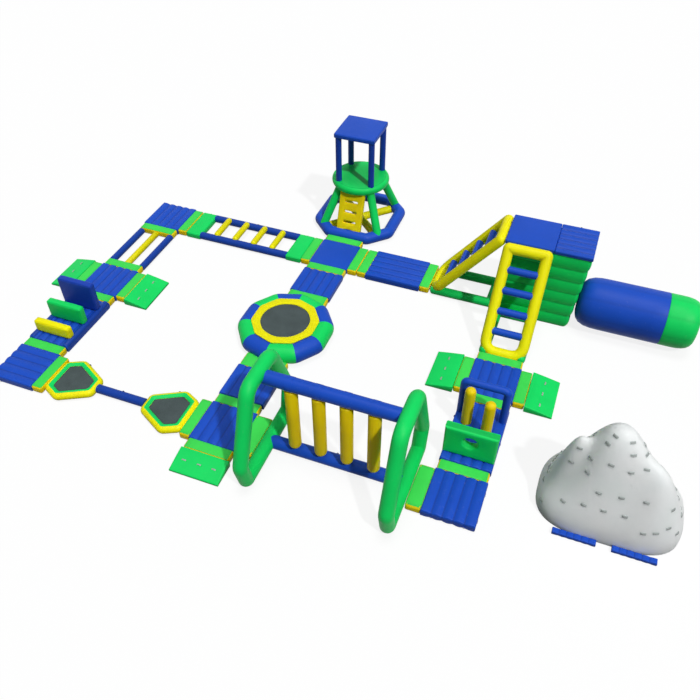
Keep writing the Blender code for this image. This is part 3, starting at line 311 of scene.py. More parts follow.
def addPiece(name, shape, finish, body="park", stands=(), fill=None, crease=50):
    bm = bmesh.new()
    mark = bm.verts.layers.float.new("weld")
    made = []
    for point, weld in zip(shape[0], shape[2]):
        vertex = bm.verts.new(point)
        vertex[mark] = weld
        made.append(vertex)
    for face in shape[1]:
        bm.faces.new([made[index] for index in face])
    bmesh.ops.remove_doubles(bm, verts=bm.verts, dist=weldedWithin)
    bmesh.ops.dissolve_degenerate(bm, dist=sliver, edges=bm.edges)
    bmesh.ops.recalc_face_normals(bm, faces=bm.faces)
    mesh = bpy.data.meshes.new(name)
    bm.to_mesh(mesh)
    bm.free()
    mesh.shade_smooth()
    mesh.set_sharp_from_angle(angle=math.radians(crease))
    piece = bpy.data.objects.new(name, mesh)
    bpy.context.collection.objects.link(piece)
    material, slotName = finishes[finish]
    mesh.materials.append(material)
    if body:
        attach(piece, body)
    if stands:
        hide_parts(*stands)
    return piece


# An air cell: a mattress of tubes side by side, across u and along v, lying on z = 0

cellForm = {"square": 0.6, "samples": 8, "sideSteps": 6, "endSteps": 5, "apart": 0.01,
            "edgeBelow": 0.01, "seamBelow": 0.05}


def bulge(turn):
    # a quarter turn round an edge, squarer than a circle
    power = cellForm["square"]
    return math.copysign(abs(math.sin(turn)) ** power, turn), abs(math.cos(turn)) ** power


def airCell(width, length, rise, side, nose, ribs=0, ribDepth=0.0, scallop=0.0):
    form = cellForm
    pitch = width / ribs if ribs else width
    inner = width / 2 - side

    def arch(u):
        # 1 on a tube's crest, 0 in the weld between two tubes
        if not ribs or abs(u) > width / 2 - pitch / 2:
            return 1
        return abs(math.sin(math.pi * ((u + width / 2) / pitch % 1)))

    samples = (ribs or 2) * form["samples"]
    flat = (-width / 2 + width * index / samples for index in range(samples + 1))
    across = [(u, 1) for u in flat if abs(u) < inner - form["apart"]]
    for turn in quarterTurn(form["sideSteps"]):
        out, roundness = bulge(turn)
        reach = inner + side * out
        across += [(-reach, roundness), (reach, roundness)]
    across.sort()
    along = [(share, 0) for share in (-1, -0.5, 0, 0.5, 1)]
    for turn in quarterTurn(form["endSteps"])[1:]:
        along += [(-1, -turn), (1, turn)]
    rings, welds = [], []
    for share, turn in sorted(along):
        ring, marks = [], []
        out, endRoundness = bulge(turn)
        for face in (1, -1):
            for u, roundness in across[::face]:
                crest = arch(u)
                end = length / 2 - scallop * (1 - crest) - nose
                v = share * end + nose * out
                thick = rise(v / length + 0.5)
                half = (thick / 2 - ribDepth * (1 - crest)) * roundness * endRoundness
                ring.append(Vector((u, v, thick / 2 + face * half)))
                # the welds between tubes lie in the valleys, and their darkening there is partly
                # painted shade
                edge = min(roundness, endRoundness) < form["edgeBelow"]
                marks.append(1 if edge or crest < form["seamBelow"] else 0)
        rings.append(ring)
        welds.append(marks)
    points, faces, marks = skinRings(rings, welds=welds)
    return points, faces[:-2], marks


# An inflated box: flat where it is held, its edges welded and drawn in a little

boxForm = {"steps": 4, "seamFrom": 0.97, "swell": 2.5, "drawn": 0.006, "leastHalf": 0.05}


def cellLines(half, edge, inside):
    inner, steps = half - edge, boxForm["steps"]
    lines = [inner + edge * math.tan(math.radians(45) * step / steps)
             for step in range(steps + 1)]
    middle = [-inner + 2 * inner * step / inside for step in range(1, inside)]
    return [-line for line in lines[::-1]] + middle + lines


def onCell(q, half, edge, crown):
    inner = [size - edge for size in half]
    held = [max(-limit, min(limit, value)) for value, limit in zip(q, inner)]
    away = [value - kept for value, kept in zip(q, held)]
    size = math.sqrt(sum(part * part for part in away)) or 1
    seam = sorted(abs(part) for part in away)
    mark = 1 if seam[1] > edge * boxForm["seamFrom"] else 0
    out = [kept + edge * part / size for kept, part in zip(held, away)]
    shares = [min(1, abs(value) / size) for value, size in zip(out, half)]
    placed = []
    for axis in range(3):
        others = [shares[other] for other in range(3) if other != axis]
        swell = math.prod(1 - share ** boxForm["swell"] for share in others)
        placed.append(out[axis] * (1 - crown[axis] / half[axis] * (1 - swell) * shares[axis]))
    if mark:
        placed = [value * (1 - boxForm["drawn"] / max(size, boxForm["leastHalf"]))
                  for value, size in zip(placed, half)]
    return Vector(placed), mark


def inflatedBox(size, centre, edge, crown, inside=(8, 8, 6)):
    half = [value / 2 for value in size]
    lines = [cellLines(half[axis], edge, inside[axis]) for axis in range(3)]
    points, faces, marks = [], [], []
    for axis in range(3):
        first, second = [other for other in range(3) if other != axis]
        for face in (-1, 1):
            faces += gridFaces(len(lines[first]) - 1, len(lines[second]) - 1, len(points))
            for u in lines[first]:
                for v in lines[second]:
                    q = [0, 0, 0]
                    q[first], q[second], q[axis] = u, v, face * half[axis]
                    point, mark = onCell(q, half, edge, crown)
                    points.append(point + Vector(centre))
                    marks.append(mark)
    return points, faces, marks


# Tubes: mitred at each corner, with the weld pinched in; planeUp is normal to the path's plane

tubeForm = {"pinch": 0.012, "weldHalf": 0.035, "weldFrom": math.radians(9), "capSteps": 5,
            "bendSteps": 6, "domeSteps": 8, "goreShade": 0.3}


def tubeShape(path, radius, sides=28, loop=False, planeUp=up, dome=0.0, firstNormal=None,
              lastNormal=None, weldAll=True):
    form = tubeForm
    path = [Vector(point) for point in path]
    spans = len(path) if loop else len(path) - 1
    ways = [(path[(index + 1) % len(path)] - path[index]).normalized() for index in range(spans)]

    def cut(index, size, point, normal):
        # where a plane cuts one straight of the tube
        way = ways[index]
        side = way.cross(planeUp).normalized()
        return [corner + way * ((point - corner).dot(normal) / way.dot(normal))
                for corner in circleAt(path[index], size, side, side.cross(way), sides)]

    rings, welds = [], []
    for index, point in enumerate(path):
        first, last = not loop and index == 0, not loop and index == len(path) - 1
        before = ways[index - 1] if not first else ways[0]
        after = ways[index] if not last else ways[-1]
        normal = (before + after).normalized()
        if first or last:
            chosen = firstNormal if first else lastNormal
            ring = cut(0 if first else spans - 1, radius, point, Vector(chosen or normal))
            way = -ways[0] if first else ways[-1]
            caps = [[point + way * dome * math.sin(turn) + (corner - point) * math.cos(turn)
                     for corner in ring]
                    for turn in (quarterTurn(form["capSteps"], True)[1:] if dome else ())]
            group = (caps[::-1] + [ring]) if first else ([ring] + caps)
            rings += group
            welds += [1 if item is ring and dome else 0 for item in group]
        elif weldAll and before.angle(after) > form["weldFrom"]:
            rings += [cut(index - 1, radius, point - before * form["weldHalf"], normal),
                      cut(index, radius * (1 - form["pinch"]), point, normal),
                      cut(index, radius, point + after * form["weldHalf"], normal)]
            welds += [0, 1, 0]
        else:
            rings.append(cut(index, radius, point, normal))
            welds.append(0)
    return skinRings(rings, loop, welds)


def addTube(name, start, end, radius, finish, dome=0.0, planeUp=up, **rest):
    return addPiece(name, tubeShape([start, end], radius, planeUp=planeUp, dome=dome), finish,
                    **rest)


def bendCorners(points, bends, loop):
    # bends is one length for all corners, or one for each
    points, steps = [Vector(point) for point in points], tubeForm["bendSteps"]
    if not isinstance(bends, tuple):
        bends = (bends,) * len(points)
    path = []
    for index, (corner, bend) in enumerate(zip(points, bends)):
        if not loop and index in (0, len(points) - 1):
            path.append(corner)
            continue
        before = (points[index - 1] - corner).normalized()
        after = (points[(index + 1) % len(points)] - corner).normalized()
        for share in (step / steps for step in range(steps + 1)):
            path.append(corner + before * bend * (1 - share) ** 2 + after * bend * share ** 2)
    return path


# Turned shapes: (distance along the axis, radius) pairs

def turnedShape(profile, start, axis, sides=40, welds=None, gores=0, goreDip=0.002):
    axis, start = Vector(axis), Vector(start)
    side = Vector((1, 0, 0)) if abs(axis.x) < 0.5 else Vector((0, 1, 0))
    ways = circleAt(Vector(), 1, side, axis.cross(side), sides)
    gored = [1 if gores and index % (sides // gores) == 0 else 0 for index in range(sides)]
    rings = [[start + axis * along + radius * (1 - goreDip * gore) * way
              for way, gore in zip(ways, gored)] for along, radius in profile]
    return skinRings(rings, welds=[[max(tubeForm["goreShade"] * gore, weld) for gore in gored]
                                   for weld in welds or [0] * len(profile)])


def domedProfile(radius, length):
    straight = length - radius
    return ([(straight * step / 4, radius) for step in range(5)]
            + [(straight + radius * math.sin(turn), radius * math.cos(turn))
               for turn in quarterTurn(tubeForm["domeSteps"], True)[1:]])


# Places along the chains of modules

chain = {"half": 1.0, "pad": 0.47, "leftX": -9.365, "leftMiddleY": -5.67, "frontY": -11.76,
         "towerX": 9.28, "rightMiddleY": -5.64, "longX": 3.29, "linkBackY": -2.355,
         "linkFrontY": -9.405, "trampolineY": -5.88, "guardY": 3.64, "ladderFootX": 5.11,
         "ladderFootY": -4.17, "clear": 0.0003, "smallTrampoline": 2.10}


# Platforms: blue mattresses of welded tubes, each with its laced pads

platformPiece = {"height": 0.36, "ribs": 5, "ribDepth": 0.054, "side": 0.080, "nose": 0.06,
                 "scallop": 0.006, "square": (2.0, 2.0), "short": (2.0, 1.77),
                 "long": (2.70, 2.0), "boxEdge": 0.06, "boxCrown": (0.012, 0.012, 0.02)}
padPiece = {"height": 0.34, "edge": 0.075, "inset": 0.03, "overlap": 0.03, "crown": 0.012,
            "border": 0.030, "endBorder": 0.055, "lift": 0.005, "tuck": 0.31,
            "leftStandoff": 0.22, "rightStandoff": 0.12, "sunk": 0.004, "rimShare": 0.4,
            "grid": (8, 14)}


def mattress(name, centre, size, along, ribs, stands, height=platformPiece["height"], low=0.0,
             ribDepth=platformPiece["ribDepth"]):
    width, length = size if along == "y" else size[::-1]
    cell = airCell(width, length, lambda share: height, platformPiece["side"],
                   platformPiece["nose"], ribs, ribDepth, platformPiece["scallop"])
    middle = Vector((*centre, low))
    if along == "y":
        cell = moveShape(cell, lambda p: middle + p)
    else:
        cell = moveShape(cell, lambda p: middle + Vector((p.y, -p.x, p.z)))
    return addPiece(name, cell, "blue", stands=stands, fill=1)


def padPanel(size, along, centre):
    # green panel over the pad's crown; the yellow body shows along its borders
    half = [value / 2 for value in size]
    rows, columns = padPiece["grid"]
    reach = [value - padPiece["border"] for value in half]
    reach[along] = half[along] - padPiece["endBorder"]

    def spotAt(i, j, level):
        u, v = reach[0] * (2 * i / rows - 1), reach[1] * (2 * j / columns - 1)
        skin = onCell([u, v, half[2]], half, padPiece["edge"], [padPiece["crown"]] * 3)[0]
        rim = i in (0, rows) or j in (0, columns)
        high = skin.z + level * (padPiece["rimShare"] if rim else 1)
        return Vector((u, v, high)) + centre, int(rim)

    return closedPlate(rows, columns, (padPiece["lift"], -padPiece["sunk"]), spotAt)


def lacedPad(name, centre, size, side, reach, cutter=None):
    out = sideways[side]
    depth, length = (size[0], size[1]) if out.x else (size[1], size[0])
    across = reach + padPiece["overlap"]
    run = length - 2 * padPiece["inset"]
    box = (across, run, padPiece["height"]) if out.x else (run, across, padPiece["height"])
    middle = (Vector((*centre, padPiece["height"] / 2))
              + out * (depth / 2 + (reach - padPiece["overlap"]) / 2))
    crown = [padPiece["crown"]] * 3
    # the pad's yellow body in the darker copy of yellow, painted shade
    body = addPiece(name + "_body", inflatedBox(box, middle, padPiece["edge"], crown), "shadedYellow",
                    fill=1)
    panel = addPiece(name + "_panel", padPanel(box, 1 if out.x else 0, middle), "padGreen")
    for piece in (body, panel):
        if cutter:
            cutWith(piece, cutter)


def cutWith(piece, cutter):
    step = piece.modifiers.new("cut", "BOOLEAN")
    step.operation, step.solver, step.object = "DIFFERENCE", "EXACT", cutter
    bpy.context.view_layer.update()
    state = piece.evaluated_get(bpy.context.evaluated_depsgraph_get())
    cutMesh = bpy.data.meshes.new_from_object(state)
    piece.modifiers.clear()
    piece.data = cutMesh


def decagon(halfWidth, height):
    corner, turn = halfWidth / math.cos(math.pi / 10), math.radians(90)
    return [Vector((corner * math.cos(turn + math.pi * index / 5),
                    chain["trampolineY"] + corner * math.sin(turn + math.pi * index / 5), height))
            for index in range(10)]


ringPiece = {"apothem": 1.6338, "radius": 0.43, "padGap": 0.002}


def buildPlatforms():
    gap = chain["pad"] - chain["clear"]
    whole, short = platformPiece["square"], platformPiece["short"]
    near = chain["pad"] + padPiece["tuck"]
    rows = (
        ("platform_left_front", (chain["leftX"], chain["frontY"]), whole, "x",
         {"back": gap, "right": gap}),
        ("platform_left_middle", (chain["leftX"], chain["leftMiddleY"]), whole, "y",
         {"front": gap, "back": gap, "left": gap, "right": gap}),
        ("platform_left_back", (chain["leftX"], 0), whole, "y", {"front": gap, "right": gap}),
        ("platform_centre_back", (0, 0), whole, None,
         {"left": gap, "right": gap, "front": gap, "back": gap}),
        ("platform_right_back", (chain["longX"], 0), platformPiece["long"], "x",
         {"left": gap, "right": gap}),
        ("link_platform_back", (0, chain["linkBackY"]), short, "y", {"front": near}),
        ("link_platform_front", (0, chain["linkFrontY"]), short, "y", {"back": near}),
        ("platform_centre_front", (0, chain["frontY"]), whole, "y",
         {"back": gap, "front": gap, "left": gap, "right": gap + padPiece["leftStandoff"]}),
        ("platform_right_front", (chain["towerX"], chain["frontY"]), whole, "y",
         {"left": gap + padPiece["rightStandoff"], "back": gap}),
        ("platform_right_middle", (chain["towerX"], chain["rightMiddleY"]), whole, "y",
         {"front": gap, "back": gap, "left": gap, "right": gap}))
    radius = ringPiece["radius"]
    cutter = addPiece("ringCutter", tubeShape(decagon(ringPiece["apothem"], radius),
                                              radius + ringPiece["padGap"], loop=True,
                                              weldAll=False), "green", body=None)
    for name, centre, size, along, pads in rows:
        if along is None:
            box = (*size, platformPiece["height"])
            addPiece(name + "_cell",
                     inflatedBox(box, Vector((*centre, box[2] / 2)), platformPiece["boxEdge"],
                                 platformPiece["boxCrown"]),
                     "blue", stands=(name,), fill=1)
        else:
            mattress(name + "_cell", centre, size, along, platformPiece["ribs"], (name,))
        for side, reach in pads.items():
            lacedPad(f"{name}_pad_{side}", centre, size, side, reach,
                     cutter if reach == near else None)
    bpy.data.objects.remove(cutter)
    print("platforms and laced pads built")


buildPlatforms()


# Handles: a webbing loop sewn to a patch, facing along the skin's normal

handlePiece = {"length": 0.17, "width": 0.062, "rise": 0.024, "thick": 0.007,
               "patch": (0.21, 0.10, 0.006), "steps": 10, "lift": 0.008, "waist": 0.25,
               "patchLift": 0.001, "patchShares": ((-1, 0.7), (-0.9, 1), (0.9, 1), (1, 0.7))}


def handleShape(point, normal, way):
    size = handlePiece
    normal = Vector(normal).normalized()
    way = (Vector(way) - normal * Vector(way).dot(normal)).normalized()
    side = normal.cross(way)

    def bandRing(along, height, tilt, width, thick):
        direction = (way * math.cos(tilt) + normal * math.sin(tilt)).normalized()
        outward = direction.cross(side) * -1
        middle = Vector(point) + way * along + normal * height
        return [middle + side * width / 2 * a + outward * thick / 2 * b
                for a, b in ((-1, -1), (1, -1), (1, 1), (-1, 1))]

    rings = []
    for share in (step / size["steps"] for step in range(size["steps"] + 1)):
        swing = math.sin(math.pi * share)
        slope = math.atan2(size["rise"] * math.pi * math.cos(math.pi * share), size["length"])
        rings.append(bandRing(size["length"] / 2 * (2 * share - 1),
                              size["lift"] + size["rise"] * swing, slope,
                              size["width"] * (1 - size["waist"] * swing), size["thick"]))
    length, width, thick = size["patch"]
    patchRings = [bandRing(length / 2 * share, size["patchLift"], 0, width * wide, thick)
                  for share, wide in size["patchShares"]]
    return skinRings(rings), skinRings(patchRings, welds=[1, 0, 0, 1])


def addHandles(name, handles, patchFinish, body="park"):
    straps, patches = zip(*handles)
    addPiece(name + "_straps", joinShapes(straps), "webbing", body=body, crease=30)
    addPiece(name + "_patches", joinShapes(patches), patchFinish, body=body, crease=30)


# Ramps: green wedges laced along their top edges, each with a row of handles

rampPiece = {"width": 2.06, "length": 1.15, "frontLength": 1.0, "high": 0.34, "tip": 0.11,
             "side": 0.05, "nose": 0.035, "handleShares": (-0.62, 0.0, 0.60), "handleAlong": 0.50,
             "handleSunk": 0.001, "crown": 0.012}


def rampPieceAt(name, edge, side, length):
    size = rampPiece
    out = sideways[side]
    across = up.cross(out)
    foot = Vector((*edge, 0))

    def rise(share):
        straight = size["high"] + (size["tip"] - size["high"]) * share
        return straight + size["crown"] * math.sin(math.pi * min(1, max(0, share)))

    cell = airCell(size["width"], length, rise, size["side"], size["nose"])
    cell = moveShape(cell, lambda p: foot + across * p.x + out * (p.y + length / 2) + up * p.z)
    addPiece(name + "_cell", cell, "green", body=name, stands=(name,), fill=1)
    slope = up + out * (size["high"] - size["tip"]) / length
    share = size["handleAlong"]
    loops = [handleShape(foot + across * size["width"] / 2 * place + out * length * share
                         + up * (rise(share) - size["handleSunk"]), slope, across)
             for place in size["handleShares"]]
    addHandles(name + "_handle", loops, "green", name)


def buildRamps():
    reach, length = chain["half"] + chain["pad"], rampPiece["length"]
    for name, x, y, side in (
            ("ramp_left_inner", chain["leftX"] + reach, chain["leftMiddleY"], "right"),
            ("ramp_left_outer", chain["leftX"] - reach, chain["leftMiddleY"], "left"),
            ("ramp_right_inner", chain["towerX"] - reach, chain["rightMiddleY"], "left"),
            ("ramp_right_outer", chain["towerX"] + reach, chain["rightMiddleY"], "right")):
        rampPieceAt(name, (x, y), side, length)
    rampPieceAt("ramp_front", (0, chain["frontY"] - reach), "front", rampPiece["frontLength"])
    print("ramps and their handles built")


buildRamps()


# Left side: beam bridge, hurdle runway, small trampolines and balance beam

leftSide = {"bridgeLength": 2.73, "bridgeSpread": 0.84, "bridgeRadius": 0.165,
            "middleRadius": 0.155, "railRadius": 0.15, "railHeight": 0.27, "railAt": 0.85,
            "beamRadius": 0.19, "hurdleWidth": 1.80, "hurdleThick": 0.38, "hurdleEdge": 0.09,
            # the tall hurdle takes the darker navy blue, painted shade
            "hurdles": (("hurdle_high", 1.45, "navy", 0), ("hurdle_middle", 0.92, "green", 1),
                        ("hurdle_low", 0.60, "yellow", 2)),
            "hurdleFirst": 0.58, "hurdleFoot": 0.36, "hurdleCrown": (0.02, 0.03, 0.02),
            "runwayHeight": 0.355, "runwayRibs": 5, "railInset": 0.05, "railDome": 0.045,
            "tubeDome": 0.02, "beamDome": 0.004}


def buildLeftSide():
    size = leftSide
    x, reach = chain["leftX"], chain["half"] + chain["pad"]
    dome = size["tubeDome"]
    for name, across, radius, finish in (
            ("bridge_tube_left", -size["bridgeSpread"], size["bridgeRadius"], "blue"),
            ("bridge_tube_middle", 0, size["middleRadius"], "yellow"),
            ("bridge_tube_right", size["bridgeSpread"], size["bridgeRadius"], "blue")):
        addTube(name + "_skin", (x + across, -reach - dome, radius),
                (x + across, -reach - size["bridgeLength"] + dome, radius), radius, finish,
                dome, stands=(name,))
    back, front = chain["leftMiddleY"] - reach, chain["frontY"] + reach
    mattress("runway_base_cell", (x, (front + back) / 2), (platformPiece["square"][0],
                                                           back - front),
             "y", size["runwayRibs"], ("runway_base",), height=size["runwayHeight"])
    for side, turn in (("left", -1), ("right", 1)):
        railX, inset, high = x + turn * size["railAt"], size["railInset"], size["railHeight"]
        addTube(f"runway_rail_{side}", (railX, front + inset, high), (railX, back - inset, high),
                size["railRadius"], "blue", size["railDome"])
    for name, height, finish, place in size["hurdles"]:
        box = (size["hurdleWidth"], size["hurdleThick"], height)
        middle = (x, back - size["hurdleFirst"] - place, size["hurdleFoot"] + height / 2)
        addPiece(name + "_cell", inflatedBox(box, middle, size["hurdleEdge"],
                                             size["hurdleCrown"], (12, 4, 8)),
                 finish, stands=(name,), fill=1)
    start = x + reach + chain["smallTrampoline"]
    end = -reach - chain["smallTrampoline"]
    radius = size["beamRadius"]
    addTube("balance_beam_skin", (start, chain["frontY"], radius), (end, chain["frontY"], radius),
            radius, "blue", size["beamDome"], stands=("balance_beam",))
    print("beam bridge, runway, hurdles and balance beam built")


buildLeftSide()


# Beds: cloth in wedges from the rim to the middle

bedPiece = {"thick": 0.010, "rows": 14, "columns": 6}
borderShares, underShares = (0, 0.12, 0.3, 0.5, 0.7, 0.88, 1), (1, 0.5, 0)


def insetOutline(outline, distance):
    lines = []
    for index, point in enumerate(outline):
        step = (Vector(outline[(index + 1) % len(outline)]) - Vector(point)).normalized()
        inward = Vector((-step.y, step.x))
        lines.append((inward, inward.dot(Vector(point)) + distance))
    corners = []
    for index, (normal, offset) in enumerate(lines):
        before, beforeOffset = lines[index - 1]
        area = before.x * normal.y - before.y * normal.x
        corners.append(Vector(((beforeOffset * normal.y - offset * before.y) / area,
                               (offset * before.x - beforeOffset * normal.x) / area)))
    return corners


def jumpingBed(name, outline, middle, top):
    rows, columns = bedPiece["rows"], bedPiece["columns"]
    for index, corner in enumerate(outline):
        after = outline[(index + 1) % len(outline)]

        def spotAt(row, column, level):
            near, far = (end.lerp(middle, row / rows) for end in (corner, after))
            flat = near.lerp(far, column / columns)
            return Vector((flat.x, flat.y, level)), int(row == 0)

        plate = closedPlate(rows, columns, (top, top - bedPiece["thick"]), spotAt)
        wedge = addPiece(f"{name}_wedge_{index + 1}", plate, "mesh", body=None, stands=(name,),
                         crease=60)
        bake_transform(wedge)


def slopedBorder(outer, inner, thick, swell=0.012):
    # a padded border between two outlines of the same number of corners
    rings = []
    for a, b in zip(outer, inner):
        rings.append([a.lerp(b, share) + up * (swell * math.sin(math.pi * share))
                      for share in borderShares]
                     + [a.lerp(b, share) - up * thick for share in underShares])
    return skinRings(rings, loop=True)


smallTrampoline = {"length": chain["smallTrampoline"], "half": 1.12, "back": 0.84,
                   "nose": 0.50, "shoulder": 0.76, "tube": 0.18, "bend": 0.09,
                   "borderOuter": -0.05, "borderInner": 0.145,
                   "outerTop": 0.345, "innerTop": 0.301, "borderThick": 0.008,
                   "borderSwell": 0.040, "bedTop": 0.2894, "bedInset": 0.15,
                   "bedMiddle": 0.95}


def buildSmallTrampoline(name, centre, sign):
    size = smallTrampoline
    radius = size["tube"]
    upper = [(radius, size["back"] - radius), (size["shoulder"], size["half"] - radius),
             (size["length"] - radius, size["nose"] - radius)]
    outline = [(x * sign, y) for x, y in upper] + [(x * sign, -y) for x, y in reversed(upper)]
    if sign > 0:
        outline = outline[::-1]
    flat = [Vector((centre[0] + x, centre[1] + y)) for x, y in outline]
    path = bendCorners([(point.x, point.y, radius) for point in flat], size["bend"], True)
    addPiece(f"{name}_frame_skin", tubeShape(path, radius, loop=True, weldAll=False), "yellow",
             stands=(f"{name}_frame",))
    outer, inner = (
        bendCorners([point.to_3d() + up * height for point in insetOutline(flat, distance)],
                    size["bend"], True)
        for distance, height in ((size["borderOuter"], size["outerTop"]),
                                 (size["borderInner"], size["innerTop"])))
    addPiece(f"{name}_border", slopedBorder(outer, inner, size["borderThick"],
                                            size["borderSwell"]), "green")
    bed = insetOutline(flat, size["bedInset"])
    middle = Vector((centre[0] + sign * size["bedMiddle"], centre[1]))
    jumpingBed(f"{name}_bed", bed, middle, size["bedTop"])


for side, sideX, sign in (("left", chain["leftX"], 1), ("right", 0, -1)):
    buildSmallTrampoline(f"small_trampoline_{side}",
                         (sideX + sign * (chain["half"] + chain["pad"]), chain["frontY"]), sign)
print("small trampolines built")


# Ladder bridge: two green end pads, blue rails, yellow rungs

ladderBridge = {"length": 6.425, "endPad": 0.84, "endHeight": 0.33, "railRadius": 0.19,
                "railSpread": 0.80, "rungRadius": 0.155, "rungHeight": 0.35, "rungHalf": 0.80,
                "rungs": 4, "pitch": 1.03, "width": 1.97, "edge": 0.07,
                "crown": (0.01, 0.01, 0.015), "embed": 0.03, "dome": 0.02, "rungDome": 0.9}


def buildLadderBridge():
    size = ladderBridge
    end = -(chain["half"] + chain["pad"])
    start = end - size["length"]
    box = (size["endPad"], size["width"], size["endHeight"])
    for side, x in (("left", start + box[0] / 2), ("right", end - box[0] / 2)):
        addPiece(f"ladder_bridge_pad_{side}",
                 inflatedBox(box, (x, 0, box[2] / 2), size["edge"], size["crown"]), "green",
                 stands=("ladder_bridge",) if side == "left" else (), fill=1)
    reach, radius = box[0] - size["embed"], size["railRadius"]
    for side, y in (("front", -size["railSpread"]), ("back", size["railSpread"])):
        addTube(f"ladder_bridge_rail_{side}", (start + reach, y, radius),
                (end - reach, y, radius), radius, "blue", size["dome"])
    radius, high = size["rungRadius"], size["rungHeight"]
    half = size["rungHalf"] - radius
    for rung in range(size["rungs"]):
        x = (start + end) / 2 + (rung - (size["rungs"] - 1) / 2) * size["pitch"]
        addTube(f"ladder_bridge_rung_{rung + 1}", (x, -half, high), (x, half, high), radius,
                "yellow", radius * size["rungDome"])
    print("ladder bridge built")


buildLadderBridge()


# Big trampoline: ten welded segments, green and blue in turn, a yellow skirt and a dark bed

bigTrampoline = {"bend": 0.13, "skirtOuter": 1.44, "skirtInner": 1.085, "skirtBend": 0.30,
                 "skirtTop": 0.872, "skirtThick": 0.037, "bedHalf": 1.165, "bedTop": 0.8346,
                 "skirtFill": 0.8, "sides": 36}


def ringSegment(index, radius):
    # from the middle of one rounded corner to the middle of the next
    corners = decagon(ringPiece["apothem"], radius)
    four = [corners[(index + step) % 10] for step in (-1, 0, 1, 2)]
    ways = [(b - a).normalized() for a, b in zip(four, four[1:])]
    path = bendCorners(four, bigTrampoline["bend"], False)
    middle = tubeForm["bendSteps"] // 2 + 1
    return tubeShape(path[middle:middle + tubeForm["bendSteps"] + 2], radius,
                     sides=bigTrampoline["sides"], firstNormal=ways[0] + ways[1],
                     lastNormal=ways[1] + ways[2], weldAll=False)


def buildBigTrampoline():
    for finish, turn in (("green", 1), ("blue", 0)):
        segments = [ringSegment(index, ringPiece["radius"]) for index in range(10)
                    if (index + turn) % 2 == 0]
        addPiece(f"big_trampoline_ring_{finish}", joinShapes(segments), finish,
                 stands=("big_trampoline_ring",) if finish == "green" else ())
    size = bigTrampoline
    outer = bendCorners(decagon(size["skirtOuter"], size["skirtTop"]), size["bend"], True)
    inner = bendCorners(decagon(size["skirtInner"], size["skirtTop"]), size["skirtBend"], True)
    addPiece("big_trampoline_skirt_pad", slopedBorder(outer, inner, size["skirtThick"]),
             "yellow", stands=("big_trampoline_skirt",), fill=size["skirtFill"])
    rim = [point.to_2d() for point in decagon(size["bedHalf"], 0)]
    jumpingBed("big_trampoline_bed", rim, Vector((0, chain["trampolineY"])), size["bedTop"])
    print("big trampoline built")


buildBigTrampoline()


# Swing: two closed frames, top and foot beams, four hanging bolsters

swingPiece = {"tube": 0.28, "leftX": 1.97, "rightX": 7.41, "y": -11.90, "baseHalf": 1.84,
              "kneeHalf": 2.08, "kneeHeight": 1.30, "topHalf": 0.90, "topHeight": 4.20,
              "bends": (0.12, 0.14, 0.36), "beamRadius": 0.27, "beamHeight": 4.02,
              "footRadius": 0.27, "bolsters": 4, "pitch": 1.03, "bolsterRadius": 0.24,
              "bolsterLow": 0.60, "bolsterGap": 0.002, "gores": 4,
              "headShares": ((0, 0.55), (0.03, 0.9), (0.07, 1)), "slingWidth": 0.26,
              "slingReach": 0.2785, "slingInner": 0.2715, "slingSides": 48}


def buildSwing():
    size = swingPiece
    half = [(size["baseHalf"], size["tube"]), (size["kneeHalf"], size["kneeHeight"]),
            (size["topHalf"], size["topHeight"])]
    corners = half + [(-y, z) for y, z in reversed(half)]
    bends = size["bends"] + size["bends"][::-1]
    for side in ("left", "right"):
        x = size[side + "X"]
        path = bendCorners([(x, size["y"] + y, z) for y, z in corners], bends, True)
        addPiece(f"swing_frame_{side}_skin",
                 tubeShape(path, size["tube"], loop=True, planeUp=Vector((1, 0, 0)),
                           weldAll=False),
                 "green", stands=(f"swing_frame_{side}",))
    for name, y, z, radius in (
            ("swing_top_beam", size["y"], size["beamHeight"], size["beamRadius"]),
            ("swing_foot_beam", chain["frontY"], size["footRadius"], size["footRadius"])):
        addTube(name + "_skin", (size["leftX"], y, z), (size["rightX"], y, z), radius, "blue",
                stands=(name,))
    middle = (size["leftX"] + size["rightX"]) / 2
    top = size["beamHeight"] - size["beamRadius"] - size["bolsterGap"]
    for index in range(size["bolsters"]):
        x = middle + size["pitch"] * (index - (size["bolsters"] - 1) / 2)
        name = f"swing_bolster_{index + 1}"
        rows = domedProfile(size["bolsterRadius"], top - size["bolsterLow"])
        rows = [(along, size["bolsterRadius"] * share)
                for along, share in size["headShares"]] + rows[2:]
        # the bolster in the darker copy of yellow, painted shade
        addPiece(name + "_roll", turnedShape(rows, (x, size["y"], top), (0, 0, -1),
                                             gores=size["gores"]),
                 "shadedYellow", body=name, stands=(name,), fill=1)
        band = slingBand(x, size["y"], size["beamHeight"])
        addPiece(name + "_sling", band, "blue", body=name, crease=30)
    print("swing built")


def slingBand(x, y, z):
    size = swingPiece
    inner, outer, half = size["slingInner"], size["slingReach"], size["slingWidth"] / 2
    corners = ((inner, -half), (outer, -half), (outer, half), (inner, half))
    return skinRings([[Vector((x, y, z)) + way * radius + Vector((across, 0, 0))
                       for radius, across in corners]
                      for way in circleAt(Vector(), 1, sideways["back"], up,
                                          size["slingSides"])], loop=True)


buildSwing()


# Obstacle run: ribbed base, crawl wall with its round way through, two posts and an arch

